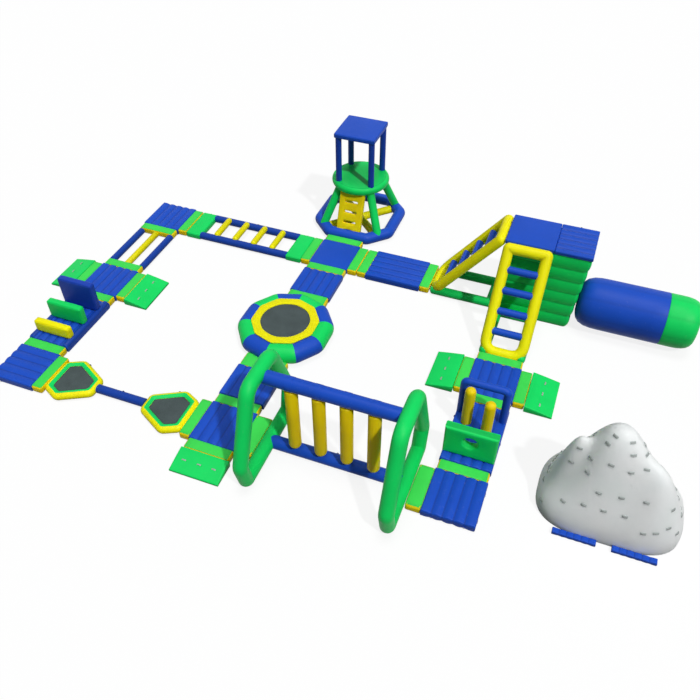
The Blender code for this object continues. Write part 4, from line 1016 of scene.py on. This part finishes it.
obstacleRun = {"wallHeight": 1.38, "wallThick": 0.38, "wallWidth": 2.0, "wallSetback": 0.52,
               "holeRadius": 0.29, "holeHeight": 0.80, "postRadius": 0.21, "postHeight": 1.90,
               "posts": (("left", -0.50, 2.06), ("right", 0.36, 1.62)), "archRadius": 0.155,
               "archHeight": 1.84, "archAlong": 2.55, "archBend": 0.18, "foot": 0.36,
               "wallEdge": 0.10, "holeLip": 0.07, "rimSteps": 20, "edgeSteps": 5,
               "postSunk": 0.03, "archSunk": 0.04, "gores": 4}


def wallWithHole(width, height, thick, holeHeight, radius):
    # sections run round the hole, each from its lip out to the wall's rim and back
    size = obstacleRun
    edge, lip, steps = size["wallEdge"], size["holeLip"], size["rimSteps"]
    outline = []
    corners = ((width / 2, height), (-width / 2, height), (-width / 2, 0), (width / 2, 0))
    for corner, after in zip(corners, corners[1:] + corners[:1]):
        for share in ((1 - math.cos(math.pi * step / steps)) / 2 for step in range(steps)):
            outline.append([a + (b - a) * share for a, b in zip(corner, after)])
    soft = [(1 - math.sin(turn), 1 - math.cos(turn)) for turn in quarterTurn(size["edgeSteps"])]
    rings, welds = [], []
    for across, rise in outline:
        far = Vector((across, rise - holeHeight))
        way = far.normalized()
        near = way * radius
        span = (far - near).length
        upper = [(lip * away, thick / 2 - lip * drop, 0) for away, drop in soft[::-1]]
        upper.append(((span + lip - edge) / 2, thick / 2, 0))
        upper += [(span - edge * away, thick / 2 - edge * drop, int(step == len(soft) - 1))
                  for step, (away, drop) in enumerate(soft)]
        upper.sort(key=lambda item: item[0])
        section = upper + [(distance, -y, mark) for distance, y, mark in reversed(upper)]
        flat = [near + way * distance for distance, _, _ in section]
        rings.append([Vector((spot.x, y, holeHeight + spot.y))
                      for spot, (_, y, _) in zip(flat, section)])
        welds.append([mark for _, _, mark in section])
    return skinRings(rings, loop=True, welds=welds)


def buildObstacles():
    size = obstacleRun
    reach = chain["half"] + chain["pad"]
    front, back = chain["frontY"] + reach, chain["rightMiddleY"] - reach
    x = chain["towerX"]
    mattress("obstacle_base_cell", (x, (front + back) / 2), (platformPiece["square"][0],
                                                             back - front),
             "y", platformPiece["ribs"], ("obstacle_base",))
    wall = wallWithHole(size["wallWidth"], size["wallHeight"], size["wallThick"],
                        size["holeHeight"], size["holeRadius"])
    place = Vector((x, front + size["wallSetback"], size["foot"]))
    addPiece("crawl_wall_cell", moveShape(wall, lambda p: place + p), "green",
             stands=("crawl_wall",), fill=1)
    for side, across, along in size["posts"]:
        rows = domedProfile(size["postRadius"], size["postHeight"])
        # the posts in the darker copy of yellow, painted shade
        addPiece(f"obstacle_post_{side}_roll",
                 turnedShape(rows, (x + across, front + along, size["foot"] - size["postSunk"]),
                             (0, 0, 1), gores=size["gores"]),
                 "shadedYellow", stands=(f"obstacle_post_{side}",), fill=1)
    y = front + size["archAlong"]
    wide = size["wallWidth"] / 2 - size["archRadius"]
    top = size["foot"] + size["archHeight"] - size["archRadius"]
    low = size["foot"] - size["archSunk"]
    path = bendCorners([(x - wide, y, low), (x - wide, y, top), (x + wide, y, top),
                        (x + wide, y, low)], size["archBend"], False)
    addPiece("obstacle_arch_skin", tubeShape(path, size["archRadius"],
                                             planeUp=Vector((0, 1, 0)), weldAll=False),
             "blue", stands=("obstacle_arch",))
    print("obstacle run built")


buildObstacles()


# Guard tower: eight-cornered ring, cross brace, round deck on four legs, ladder and canopy

guardPiece = {"half": 2.17, "tube": 0.29, "chamfer": 0.88, "bend": 0.12, "brace": 0.20,
              "deckRadius": 1.45, "deckTop": 2.75, "deckThick": 0.40, "deckRound": 0.18,
              "legRadius": 0.205, "legTop": 0.76, "legFoot": 1.50, "legStart": 2.50,
              "postRadius": 0.15, "postSpread": 0.85, "roofTop": 5.34, "roofSide": 2.10,
              "roofThick": 0.26, "ladderWidth": 1.28, "ladderThick": 0.22, "ladderFoot": 1.90,
              "ladderHead": 1.14, "ladderLow": 0.40, "ladderHigh": 2.50, "slotWidth": 0.66,
              "slotHeight": 0.125, "slots": 3, "slotPitch": 0.52, "slotStart": 0.58,
              "notch": (0.30, 0.20, 0.6), "ladderSoft": 0.035, "ladderCorner": 0.08,
              "slotCorner": 0.045, "braceGap": 0.05, "crossShare": 0.99, "deckSteps": 12,
              "deckTopRings": (0.02, 0.05, 0.4, 0.9), "deckUnderRings": (0.4, 0.03),
              "postSunk": 0.03, "roofEdge": 0.06, "roofCrown": (0.02, 0.02, 0.012)}


def slottedPanel(width, length, thick, slots):
    # a flat outline with round-cornered slots and two feet, given a thickness and soft edges
    size = guardPiece
    soft = size["ladderSoft"]
    notchHalf, notchHeight, notchPower = size["notch"]
    curve = bpy.data.curves.new("panelOutline", "CURVE")
    curve.dimensions, curve.fill_mode = "2D", "BOTH"
    curve.extrude, curve.bevel_depth, curve.bevel_resolution = thick / 2 - soft, soft, 3
    curve.offset = -soft
    outlines = [(length / 2, width / 2, length / 2, size["ladderCorner"])]
    outlines += [(place, wide / 2, high / 2, size["slotCorner"]) for place, wide, high in slots]
    for centreAt, halfWide, halfHigh, corner in outlines:
        spline = curve.splines.new("POLY")
        loop = []
        for quarter, (a, b) in enumerate(((1, 1), (-1, 1), (-1, -1), (1, -1))):
            for turn in (math.radians(90) * (quarter + step / 4) for step in range(5)):
                loop.append((a * (halfWide - corner) + corner * math.cos(turn),
                             centreAt + b * (halfHigh - corner) + corner * math.sin(turn)))
            if quarter == 2 and halfWide == width / 2:
                loop += [(-notchHalf * math.cos(turn), notchHeight * math.sin(turn) ** notchPower)
                         for turn in (math.pi * step / 12 for step in range(13))]
        spline.points.add(len(loop) - 1)
        for point, (x, y) in zip(spline.points, loop):
            point.co = (x, y, 0, 1)
        spline.use_cyclic_u = True
    holder = bpy.data.objects.new("panelHolder", curve)
    bpy.context.collection.objects.link(holder)
    bpy.context.view_layer.update()
    mesh = bpy.data.meshes.new_from_object(
        holder.evaluated_get(bpy.context.evaluated_depsgraph_get()))
    points = [vertex.co.copy() for vertex in mesh.vertices]
    faces = [tuple(face.vertices) for face in mesh.polygons]
    bpy.data.objects.remove(holder)
    return points, faces, [0] * len(points)


def buildGuardTower():
    size = guardPiece
    y, body = chain["guardY"], "guard_tower"
    half = size["half"] - size["tube"]
    near = half - size["chamfer"]
    quarter = ((half, -near), (half, near), (near, half), (-near, half))
    corners = quarter + tuple((-a, -b) for a, b in quarter)
    path = bendCorners([(a, y + b, size["tube"]) for a, b in corners], size["bend"], True)
    addPiece("guard_base_ring_skin", tubeShape(path, size["tube"], loop=True, weldAll=False),
             "blue", body=body, stands=("guard_base_ring",))
    limit, low, gap = half - size["chamfer"] / 2, size["brace"], size["braceGap"]
    bars = [tubeShape([(-limit, y - limit, low), (limit, y + limit, low)], low)]
    for start, end in (((-limit, y + limit, low), (-gap, y + gap, low)),
                       ((gap, y - gap, low), (limit, y - limit, low))):
        bars.append(tubeShape([start, end], low * size["crossShare"]))
    addPiece("guard_cross_brace_skin", joinShapes(bars), "yellow", body=body,
             stands=("guard_cross_brace",))
    buildGuardDeck(size, y, body)
    for side, right in (("left", -1), ("right", 1)):
        for end, back in (("front", -1), ("back", 1)):
            addTube(f"guard_leg_{end}_{side}",
                    (right * size["legTop"], y + back * size["legTop"], size["legStart"]),
                    (right * size["legFoot"], y + back * size["legFoot"], size["tube"]),
                    size["legRadius"], "green", body=body)
            x, postY = right * size["postSpread"], y + back * size["postSpread"]
            # the posts in the darker navy blue, painted shade
            addTube(f"guard_post_{end}_{side}", (x, postY, size["deckTop"] - size["postSunk"]),
                    (x, postY, size["roofTop"] - size["roofThick"] / 2), size["postRadius"],
                    "navy", planeUp=sideways["back"], body=body)
    roof = (size["roofSide"], size["roofSide"], size["roofThick"])
    addPiece("guard_canopy_cell",
             inflatedBox(roof, (0, y, size["roofTop"] - roof[2] / 2), size["roofEdge"],
                         size["roofCrown"], (12, 12, 3)), "blue", body=body,
             stands=("guard_canopy",), fill=1)
    buildGuardLadder(size, y, body)
    print("guard tower built")


def buildGuardDeck(size, y, body):
    flat = size["deckRadius"] - size["deckRound"]
    inner, lip = size["deckUnderRings"]
    rows = [(0, inner), (0, flat - lip)]
    for step in range(size["deckSteps"] + 1):
        turn = math.pi * (step / size["deckSteps"] - 0.5)
        rows.append((size["deckThick"] / 2 * (1 + math.sin(turn)),
                     size["deckRadius"] - size["deckRound"] * (1 - math.cos(turn))))
    welds = [0, 0, 1] + [0] * (size["deckSteps"] - 1) + [1] + [0] * len(size["deckTopRings"])
    rows += [(size["deckThick"], flat - away) for away in size["deckTopRings"]]
    deck = turnedShape(rows, (0, y, size["deckTop"] - size["deckThick"]), (0, 0, 1), sides=64,
                       welds=welds)
    addPiece("guard_deck_cell", deck, "green", body=body, stands=("guard_stand",), fill=1)


def buildGuardLadder(size, y, body):
    low = Vector((0, y - size["ladderFoot"], size["ladderLow"]))
    high = Vector((0, y - size["ladderHead"], size["ladderHigh"]))
    length = (high - low).length
    along = (high - low).normalized()
    face = along.cross(Vector((1, 0, 0)))
    slots = [(size["slotStart"] + size["slotPitch"] * index, size["slotWidth"],
              size["slotHeight"]) for index in range(size["slots"])]
    panel = slottedPanel(size["ladderWidth"], length, size["ladderThick"], slots)
    middle = low + face * size["ladderThick"] / 2
    placed = moveShape(panel, lambda p: middle + Vector((p.x, 0, 0)) + along * p.y + face * p.z)
    # the ladder in the darker copy of yellow, painted shade
    addPiece("guard_ladder_panel", placed, "shadedYellow", body=body, stands=("guard_ladder",), fill=1)


buildGuardTower()


# Jump tower: ribbed body, deck, jump mat, climbing ladders on their ground beams

towerPiece = {"run": 3.12, "deckSide": 2.1, "deckTop": 4.0, "deckThick": 0.22,
              "matLength": 1.60, "matThick": 0.20, "matRibs": 6, "layers": 6, "ribDepth": 0.06,
              "corner": 0.16, "lean": 0.32, "ladderTube": 0.235, "rungRadius": 0.165, "rungs": 4,
              "beamRadius": 0.215, "beamSpread": 0.79, "footBend": 0.55, "press": 0.03,
              "matRibDepth": 0.062, "layerSteps": 12, "swell": 0.7, "cornerSteps": 7,
              "headBend": 0.03, "rungShare": 0.95, "beamStart": 0.20, "beamDome": 0.16,
              "deckEdge": 0.06, "deckCrown": (0.008, 0.008, 0.015)}


def towerRing(height, drawIn):
    size = towerPiece
    steps = size["cornerSteps"]
    full = size["deckTop"] - size["deckThick"]
    middle = chain["towerX"]
    left = middle - size["deckSide"] / 2 + drawIn
    right = (middle + size["deckSide"] / 2 + size["matLength"]
             - size["lean"] * (1 - height / full) - drawIn)
    half, bend = size["deckSide"] / 2 - drawIn, size["corner"]
    ring = []
    for x, y, turn in ((right, half, 0), (left, half, 90), (left, -half, 180),
                       (right, -half, 270)):
        innerX = x - math.copysign(bend, x - middle)
        innerY = y - math.copysign(bend, y)
        for step in range(steps):
            angle = math.radians(turn + 90 * step / (steps - 1))
            ring.append(Vector((innerX + bend * math.cos(angle),
                                innerY + bend * math.sin(angle), height)))
    return ring


def buildTowerBody():
    size = towerPiece
    full = size["deckTop"] - size["deckThick"] - chain["clear"]
    perLayer, levels = size["layerSteps"], size["layers"] * size["layerSteps"]
    rings = []
    for level in range(levels + 1):
        swell = math.sin(math.pi * (level % perLayer) / perLayer) ** size["swell"]
        rings.append(towerRing(full * level / levels, size["ribDepth"] * (1 - swell)))
    welds = [int(level % perLayer == 0) for level in range(levels + 1)]
    addPiece("tower_body_cell", skinRings(rings, welds=welds), "green", stands=("tower_body",),
             fill=1)


def buildClimb(side, foot, out):
    size = towerPiece
    out, foot = Vector(out), Vector(foot)
    radius = size["ladderTube"]
    clear = radius + chain["clear"]
    low = foot + out * clear + up * radius
    high = foot + out * (size["run"] - clear + size["press"]) + up * (size["deckTop"] - radius)
    across = up.cross(out)
    half = across * (size["deckSide"] / 2 - radius)
    off = out.cross(up).cross((high - low).normalized())
    bends = (size["footBend"], size["headBend"], size["headBend"], size["footBend"])
    path = bendCorners([low - half, high - half, high + half, low + half], bends, True)
    frameShape = tubeShape(path, radius, loop=True, planeUp=off, weldAll=False)
    # the head bar lies flat against the deck's edge
    limit = size["run"] - chain["clear"]
    frameShape = moveShape(frameShape,
                           lambda p: p - out * max(0, (p - foot).dot(out) - limit))
    addPiece(f"climb_ladder_{side}_frame", frameShape, "yellow",
             stands=(f"climb_ladder_{side}",))
    inner = half * size["rungShare"]
    for rung in range(1, size["rungs"] + 1):
        middle = low.lerp(high, rung / (size["rungs"] + 1))
        addTube(f"climb_ladder_{side}_rung_{rung}", middle - inner, middle + inner,
                size["rungRadius"], "blue", planeUp=off)
    height, wide, begin = size["beamRadius"], size["beamSpread"], size["beamStart"]
    far = size["run"] - height - chain["clear"]
    path = [foot + out * distance + across * place + up * height
            for distance, place in ((begin, -wide), (far, -wide), (far, wide), (begin, wide))]
    addPiece(f"ladder_base_{side}_beams", tubeShape(path, height, dome=size["beamDome"]),
             "green", stands=(f"ladder_base_{side}",))


def buildTower():
    size = towerPiece
    x = chain["towerX"]
    buildTowerBody()
    deckLow = size["deckTop"] - size["deckThick"]
    box = (size["deckSide"], size["deckSide"], size["deckThick"])
    addPiece("tower_deck_cell", inflatedBox(box, (x, 0, deckLow + box[2] / 2),
                                            size["deckEdge"], size["deckCrown"]), "blue",
             stands=("tower_deck",), fill=1)
    middle = (x + size["deckSide"] / 2 + size["matLength"] / 2, 0)
    mattress("tower_jump_mat_cell", middle, (size["matLength"], size["deckSide"]), "x",
             size["matRibs"], ("tower_jump_mat",), size["matThick"], deckLow,
             size["matRibDepth"])
    buildClimb("left", (chain["ladderFootX"], 0, 0), (1, 0, 0))
    buildClimb("front", (x, chain["ladderFootY"], 0), (0, 1, 0))
    print("jump tower and climbing ladders built")


buildTower()


# Blob: a long air bag of welded gores, its far end green

blobPiece = {"length": 5.05, "radius": 1.14, "startX": 11.7436, "y": -0.25, "gores": 8,
             "greenFrom": 3.68, "weldHalf": 0.03, "weldDrawn": 0.992, "goreDip": 0.003,
             "sides": 64}
radiusShares = ((0, 0.42), (0.007, 0.58), (0.02, 0.72), (0.05, 0.86), (0.10, 0.955),
                (0.16, 0.993), (0.22, 1), (0.83, 1), (0.88, 0.992), (0.925, 0.96),
                (0.955, 0.91), (0.978, 0.83), (0.992, 0.73), (1, 0.60))
barrelShares = (0, 0.004, 0.01, 0.02, 0.035, 0.05, 0.075, 0.10, 0.13, 0.16, 0.22, 0.34, 0.48,
                0.62)
tailShares = (0.76, 0.80, 0.83, 0.86, 0.88, 0.905, 0.925, 0.94, 0.955, 0.968, 0.978, 0.986,
              0.992, 0.997, 1)


def blobRadius(along):
    place = along / blobPiece["length"]
    for (nearAt, near), (farAt, far) in zip(radiusShares, radiusShares[1:]):
        if place <= farAt:
            return blobPiece["radius"] * (near + (far - near) * (place - nearAt)
                                          / (farAt - nearAt))
    return blobPiece["radius"] * radiusShares[-1][1]


def buildBlob():
    size = blobPiece
    join, weld = size["greenFrom"], size["weldHalf"]
    near = [size["length"] * share for share in barrelShares] + [join - weld, join]
    far = [join, join + weld] + [size["length"] * share for share in tailShares]
    start = (size["startX"], size["y"], size["radius"])
    for name, places, finish in (("blob_barrel", near, "blue"), ("blob_tail", far, "green")):
        rows = [(place, blobRadius(place) * (size["weldDrawn"] if place == join else 1))
                for place in places]
        bag = turnedShape(rows, start, (1, 0, 0), sides=size["sides"], gores=size["gores"],
                          welds=[int(place == join) for place in places],
                          goreDip=size["goreDip"])
        addPiece(name, bag, finish, body="blob",
                 stands=("blob",) if name == "blob_barrel" else (), fill=1)
    print("blob built")


buildBlob()


# Iceberg: one white climbing body with webbing holds and two blue step mats

icebergPiece = {"halfLength": 2.50, "halfDepth": 1.68, "x": 14.46, "y": -9.98, "shoulder": 1.39,
                "rise": 2.70, "frontShare": 0.985, "squareness": 3.1, "steepness": 3.2,
                "rim": 0.22, "sides": 112, "matLength": 1.50, "matDepth": 0.22,
                "matHeight": 0.16, "mats": (("left", -0.94), ("right", 1.08)), "matRibs": 6,
                "matRibDepth": 0.022, "matSide": 0.035, "matNose": 0.03, "tuck": 0.992,
                "footHigh": 0.05, "holdLift": 0.002, "flatFrom": 0.97, "probe": 0.01,
                "mostShare": 0.998, "outerRings": (22, 0.62, 1.9),
                "innerRings": (9, 0.38, 0.004)}
peakShares = ((-0.189, 0.038, 0.496, 1, 1.2), (-0.728, -0.054, 0.17, 0.51, 1.3),
              (0.513, -0.329, 0.355, 0.60, 1))
seenHolds = ((-0.64, -0.25), (-0.09, -0.29), (-0.80, -0.39), (0.04, -0.50), (0.33, 0.03),
             (0.46, -0.26), (-1.15, -0.54), (-1.56, -0.31), (-1.69, -0.47), (-0.52, -0.77),
             (-1.13, -0.80), (0.13, -0.76), (0.56, -0.60), (1.25, 0.04), (1.95, -0.09),
             (1.76, -0.86), (2.20, -0.41), (1.81, -1.17), (1.47, -1.40), (1.09, -1.50),
             (2.18, -0.97), (-1.72, 1.15), (-1.95, 1.02), (-2.09, 0.66), (-2.17, 0.42),
             (-2.27, 0.19), (-2.29, -0.06), (-2.36, -0.28), (-2.27, -0.99))
hiddenHolds = ((-1.60, -1.22), (-0.95, -1.34), (-0.30, -1.38), (0.38, -1.36), (-0.62, -1.16),
               (0.10, -1.13), (0.86, -1.10), (-1.30, 0.80), (-0.62, 1.10), (0.10, 1.30),
               (0.85, 1.15), (1.50, 0.85), (-0.95, 1.42), (-0.20, 1.52), (0.55, 1.50),
               (1.25, 1.38), (1.95, 0.70), (-0.30, 0.75), (0.45, 0.62), (-1.20, 0.20))


def icebergHeight(x, y):
    size = icebergPiece
    height = size["shoulder"]
    for xShare, yShare, spreadShare, riseShare, bluntness in peakShares:
        away = (x - xShare * size["halfLength"]) ** 2 + (y - yShare * size["halfDepth"]) ** 2
        far = away / (spreadShare * size["halfLength"]) ** 2
        height += size["rise"] * riseShare * math.exp(-far ** bluntness)
    return height


def icebergSkin(x, y, share):
    # height over a place in plan that lies at a share of the way from the middle to the rim
    size = icebergPiece
    fall = math.sqrt(max(0, 1 - share ** size["steepness"]))
    return size["rim"] + (icebergHeight(x, y) - size["rim"]) * fall


def icebergPoint(share, turn):
    size = icebergPiece
    across, along = math.cos(turn), math.sin(turn)
    power = size["squareness"]
    reach = share * (abs(across) ** power + abs(along) ** power) ** (-1 / power)
    x = size["halfLength"] * across * reach
    y = max(size["halfDepth"] * along * reach, -size["halfDepth"] * size["frontShare"] * share)
    return Vector((size["x"] + x, size["y"] + y, icebergSkin(x, y, share)))


def buildIceberg():
    size = icebergPiece
    turns = [2 * math.pi * index / size["sides"] for index in range(size["sides"])]
    steps, reach, power = size["outerRings"]
    shares = [1] + [1 - reach * (step / steps) ** power for step in range(1, steps + 1)]
    steps, reach, least = size["innerRings"]
    shares += [reach * (1 - step / steps) + least for step in range(1, steps + 1)]
    floor = [Vector((point.x, point.y, 0)) for point in (icebergPoint(1, turn) for turn in turns)]
    middle = Vector((size["x"], size["y"], 0))
    rings = [[middle + (point - middle) * size["tuck"] for point in floor],
             [point + up * size["footHigh"] for point in floor]]
    rings += [[icebergPoint(share, turn) for turn in turns] for share in shares]
    addPiece("iceberg_skin", skinRings(rings, welds=[0, 1] + [0] * len(shares)), "white",
             stands=("iceberg",), fill=1, crease=60)
    holds = []
    for x, y in seenHolds + hiddenHolds:
        spot, normal = onIceberg(x, y)
        tilted = normal.z < size["flatFrom"]
        way = Vector((-normal.y, normal.x, 0)) if tilted else Vector((1, 0, 0))
        holds.append(handleShape(spot + normal * size["holdLift"], normal, way))
    addHandles("iceberg_hold", holds, "grey")
    edge = size["y"] - size["halfDepth"] * size["frontShare"] - chain["clear"]
    for side, across in size["mats"]:
        cell = airCell(size["matLength"], size["matDepth"], lambda share: size["matHeight"],
                       size["matSide"], size["matNose"], size["matRibs"], size["matRibDepth"])
        middle = Vector((size["x"] + across, edge - size["matDepth"] / 2, 0))
        addPiece(f"iceberg_mat_{side}_cell", moveShape(cell, lambda p: middle + p), "blue",
                 body=f"iceberg_mat_{side}", stands=(f"iceberg_mat_{side}",), fill=1)
    print("iceberg, its holds and mats built")


def onIceberg(x, y):
    # the skin's point and normal over a place in plan
    size = icebergPiece
    power, step = size["squareness"], size["probe"]

    def heightAt(x, y):
        share = (abs(x / size["halfLength"]) ** power
                 + abs(y / size["halfDepth"]) ** power) ** (1 / power)
        return icebergSkin(x, y, min(share, size["mostShare"]))

    slopeX = (heightAt(x + step, y) - heightAt(x - step, y)) / (2 * step)
    slopeY = (heightAt(x, y + step) - heightAt(x, y - step)) / (2 * step)
    spot = Vector((size["x"] + x, size["y"] + y, heightAt(x, y)))
    return spot, Vector((-slopeX, -slopeY, 1)).normalized()


buildIceberg()


# Fittings: a valve on each air cell, mooring rings on patches; rays find the skin under them

fitting = {"valveRadius": 0.055, "capRadius": 0.034, "valveHigh": 0.030, "ringRadius": 0.034,
           "wire": 0.006, "patch": 0.075, "away": 3.0, "valveLevel": 0.72, "mooringLevel": 0.30,
           "sides": 20, "wireSides": 8, "ringOff": 0.012, "ringHang": 0.8}
fittingsDone = {}


def skinUnder(name, side, share, level):
    # the spot on a piece seen from one side, at a share of its width and of its height
    piece = bpy.data.objects[name]
    corners = [Vector(corner) for corner in piece.bound_box]
    low = Vector([min(corner[axis] for corner in corners) for axis in range(3)])
    high = Vector([max(corner[axis] for corner in corners) for axis in range(3)])
    aim = Vector([low[axis] + (high[axis] - low[axis]) * share for axis in range(3)])
    aim.z = low.z + (high.z - low.z) * level
    out = sideways[side]
    for axis in range(2):
        if out[axis]:
            aim[axis] = (high[axis] if out[axis] > 0 else low[axis]) + out[axis] * fitting["away"]
    hit, spot, normal, _ = piece.ray_cast(aim, -out)
    return (spot, normal) if hit else None


def turnedOn(spot, normal, rows):
    normal = normal.normalized()
    side = normal.orthogonal().normalized()
    return skinRings([circleAt(spot + normal * high, radius, side, normal.cross(side),
                               fitting["sides"]) for high, radius in rows])


def ringOn(spot, normal):
    # a steel ring hanging from its patch
    radius = fitting["ringRadius"]
    hang = (up - normal * up.dot(normal)).normalized() * -1
    middle = spot + normal * fitting["ringOff"] + hang * radius * fitting["ringHang"]
    return skinRings([circleAt(middle + way * radius, fitting["wire"], way, normal,
                               fitting["wireSides"])
                      for way in circleAt(Vector(), 1, hang, normal.cross(hang),
                                          fitting["sides"])], loop=True)


def collect(kind, finish, body, shape):
    fittingsDone.setdefault((body, kind, finish), []).append(shape)


def fitValve(name, side, share=0.7, body="park", level=None):
    place = skinUnder(name, side, share, level or fitting["valveLevel"])
    if place:
        wide, cap, high = (fitting[key] for key in ("valveRadius", "capRadius", "valveHigh"))
        collect("valves", "plastic", body, turnedOn(*place, (
            (-0.004, wide), (0.004, wide), (0.008, wide * 0.9), (0.010, cap * 1.1),
            (high - 0.004, cap), (high, cap * 0.85))))


def fitMooring(name, side, share, body="park", finish="navy", kind="mooring"):
    place = skinUnder(name, side, share, fitting["mooringLevel"])
    if place:
        wide = fitting["patch"]
        collect(kind + "_patches", finish, body, turnedOn(*place, (
            (-0.006, wide), (0.005, wide), (0.007, wide * 0.93))))
        collect("mooring_rings", "steel", body, ringOn(*place))


def buildFittings():
    for name in ("platform_left_middle", "platform_left_back", "platform_centre_back",
                 "platform_right_middle", "platform_centre_front", "platform_right_front",
                 "runway_base", "obstacle_base", "tower_deck"):
        fitValve(name + "_cell", "left", 0.7)
    for name in ("platform_left_front", "platform_right_back", "tower_jump_mat"):
        fitValve(name + "_cell", "back", 0.5)
    for name in ("ladder_bridge_pad_left", "ladder_bridge_pad_right", "ladder_bridge_rail_back",
                 "hurdle_high_cell", "hurdle_middle_cell", "hurdle_low_cell", "tower_body_cell",
                 "crawl_wall_cell", "balance_beam_skin", "iceberg_skin", "swing_foot_beam_skin"):
        fitValve(name, "back", 0.5 if name != "crawl_wall_cell" else 0.85)
    for side in ("left", "right"):
        fitValve(f"small_trampoline_{side}_frame_skin", "back", 0.5)
        fitValve(f"swing_frame_{side}_skin", "left", 0.12, level=0.2)
    fitValve("big_trampoline_ring_blue", "back", 0.62)
    for number in range(1, 5):
        fitValve(f"swing_bolster_{number}_roll", "back", 0.5, f"swing_bolster_{number}", 0.9)
    fitValve("guard_deck_cell", "back", 0.5, "guard_tower")
    fitValve("guard_base_ring_skin", "back", 0.5, "guard_tower")
    fitValve("blob_barrel", "back", 0.3, "blob")
    for name, side, shares in (
            ("platform_left_front", "left", (0.2, 0.8)), ("platform_left_front", "front", (0.2,)),
            ("platform_left_back", "left", (0.2, 0.8)), ("platform_left_back", "back", (0.2,)),
            ("platform_right_front", "front", (0.2, 0.8)),
            ("platform_right_front", "right", (0.2, 0.8)),
            ("platform_right_back", "back", (0.2, 0.8)), ("runway_base", "left", (0.5,)),
            ("obstacle_base", "right", (0.5,)), ("tower_body", "right", (0.2, 0.8))):
        for share in shares:
            fitMooring(name + "_cell", side, share)
    for side in ("left", "right"):
        fitMooring("iceberg_skin", side, 0.45, finish="grey", kind="iceberg_mooring")
    fitMooring("guard_base_ring_skin", "back", 0.4, "guard_tower")
    for (body, kind, finish), shapes in fittingsDone.items():
        addPiece(f"{body}_{kind}", joinShapes(shapes), finish, body=body, crease=35)
        print(f"{body}_{kind}:", len(shapes))


buildFittings()


# Camera, light, floor and backdrop

cameraPlace = {"at": (11.1517, -27.1048, 22.3770), "right": (0.93460157, 0.35569245, -0.00166754),
               "down": (0.24797199, -0.65490682, -0.7138676),
               "forward": (-0.2550094, 0.66676828, -0.7002787), "lens": 37.64, "sensor": 36,
               "clip": (0.5, 400)}


def placeCamera():
    camera = bpy.data.cameras.new("photoCamera")
    camera.lens, camera.sensor_width = cameraPlace["lens"], cameraPlace["sensor"]
    camera.clip_start, camera.clip_end = cameraPlace["clip"]
    holder = bpy.data.objects.new("photoCamera", camera)
    bpy.context.collection.objects.link(holder)
    right, down, forward = (Vector(cameraPlace[way]) for way in ("right", "down", "forward"))
    turn = Matrix((right, -down, -forward)).transposed().to_4x4()
    holder.matrix_world = Matrix.Translation(cameraPlace["at"]) @ turn
    bpy.context.scene.camera = holder


lightSettings = {"suns": (("keySun", (0.49, -0.36, 0.79), 1.84, 2.5),
                          ("softSun", (0.0, 0.0, 1.0), 1.13, 20.0)),
                 "sky": (0.95, 0.98, 1.0, 1), "skyStrength": 0.14, "floorShown": 0.84,
                 "floorLit": 0.16, "floorBounce": 0.09, "floorReach": 160, "floorLow": -0.004}


def seenRays(tree):
    rays = addNode(tree, "ShaderNodeLightPath")
    seen = mathNode(tree, "ADD", rays.outputs["Is Camera Ray"], rays.outputs["Is Glossy Ray"])
    seen = mathNode(tree, "ADD", seen, rays.outputs["Is Transmission Ray"])
    return mathNode(tree, "MINIMUM", seen, 1.0)


def lightTheScene():
    for name, towards, strength, angle in lightSettings["suns"]:
        sun = bpy.data.lights.new(name, "SUN")
        sun.energy, sun.angle = strength, math.radians(angle)
        holder = bpy.data.objects.new(name, sun)
        bpy.context.collection.objects.link(holder)
        holder.rotation_mode = "QUATERNION"
        holder.rotation_quaternion = Vector(towards).to_track_quat("Z", "Y")
    world = bpy.data.worlds.new("paleStudio")
    bpy.context.scene.world = world
    world.use_nodes = True
    tree = world.node_tree
    tree.nodes.clear()
    shown = addNode(tree, "ShaderNodeBackground", {"Color": (1, 1, 1, 1), "Strength": 1.0})
    sky = addNode(tree, "ShaderNodeBackground", {"Color": lightSettings["sky"],
                                                 "Strength": lightSettings["skyStrength"]})
    both = addNode(tree, "ShaderNodeMixShader", {0: seenRays(tree), 1: sky.outputs[0],
                                                 2: shown.outputs[0]})
    end = addNode(tree, "ShaderNodeOutputWorld")
    tree.links.new(both.outputs[0], end.inputs["Surface"])


def layFloor():
    mesh = bpy.data.meshes.new("studioFloor")
    reach, low = lightSettings["floorReach"], lightSettings["floorLow"]
    mesh.from_pydata([(-reach, -reach, low), (reach, -reach, low), (reach, reach, low),
                      (-reach, reach, low)], [], [(0, 1, 2, 3)])
    floor = bpy.data.objects.new("studioFloor", mesh)
    bpy.context.collection.objects.link(floor)
    material = bpy.data.materials.new("paleFloor")
    material.use_nodes = True
    tree = material.node_tree
    tree.nodes.clear()
    lit = lightSettings["floorLit"]
    glow = addNode(tree, "ShaderNodeEmission", {"Color": (1, 1, 1, 1),
                                                "Strength": lightSettings["floorShown"]})
    plain = addNode(tree, "ShaderNodeBsdfDiffuse", {"Color": (lit, lit, lit, 1)})
    shown = addNode(tree, "ShaderNodeAddShader", {0: glow.outputs[0], 1: plain.outputs[0]})
    bounce = lightSettings["floorBounce"]
    dim = addNode(tree, "ShaderNodeBsdfDiffuse", {"Color": (bounce, bounce, bounce, 1)})
    both = addNode(tree, "ShaderNodeMixShader", {0: seenRays(tree), 1: dim.outputs[0],
                                                 2: shown.outputs[0]})
    end = addNode(tree, "ShaderNodeOutputMaterial")
    tree.links.new(both.outputs[0], end.inputs["Surface"])
    mesh.materials.append(material)


placeCamera()
lightTheScene()
layFloor()
bpy.context.scene.view_settings.view_transform = "Standard"
print("camera, light and floor placed")
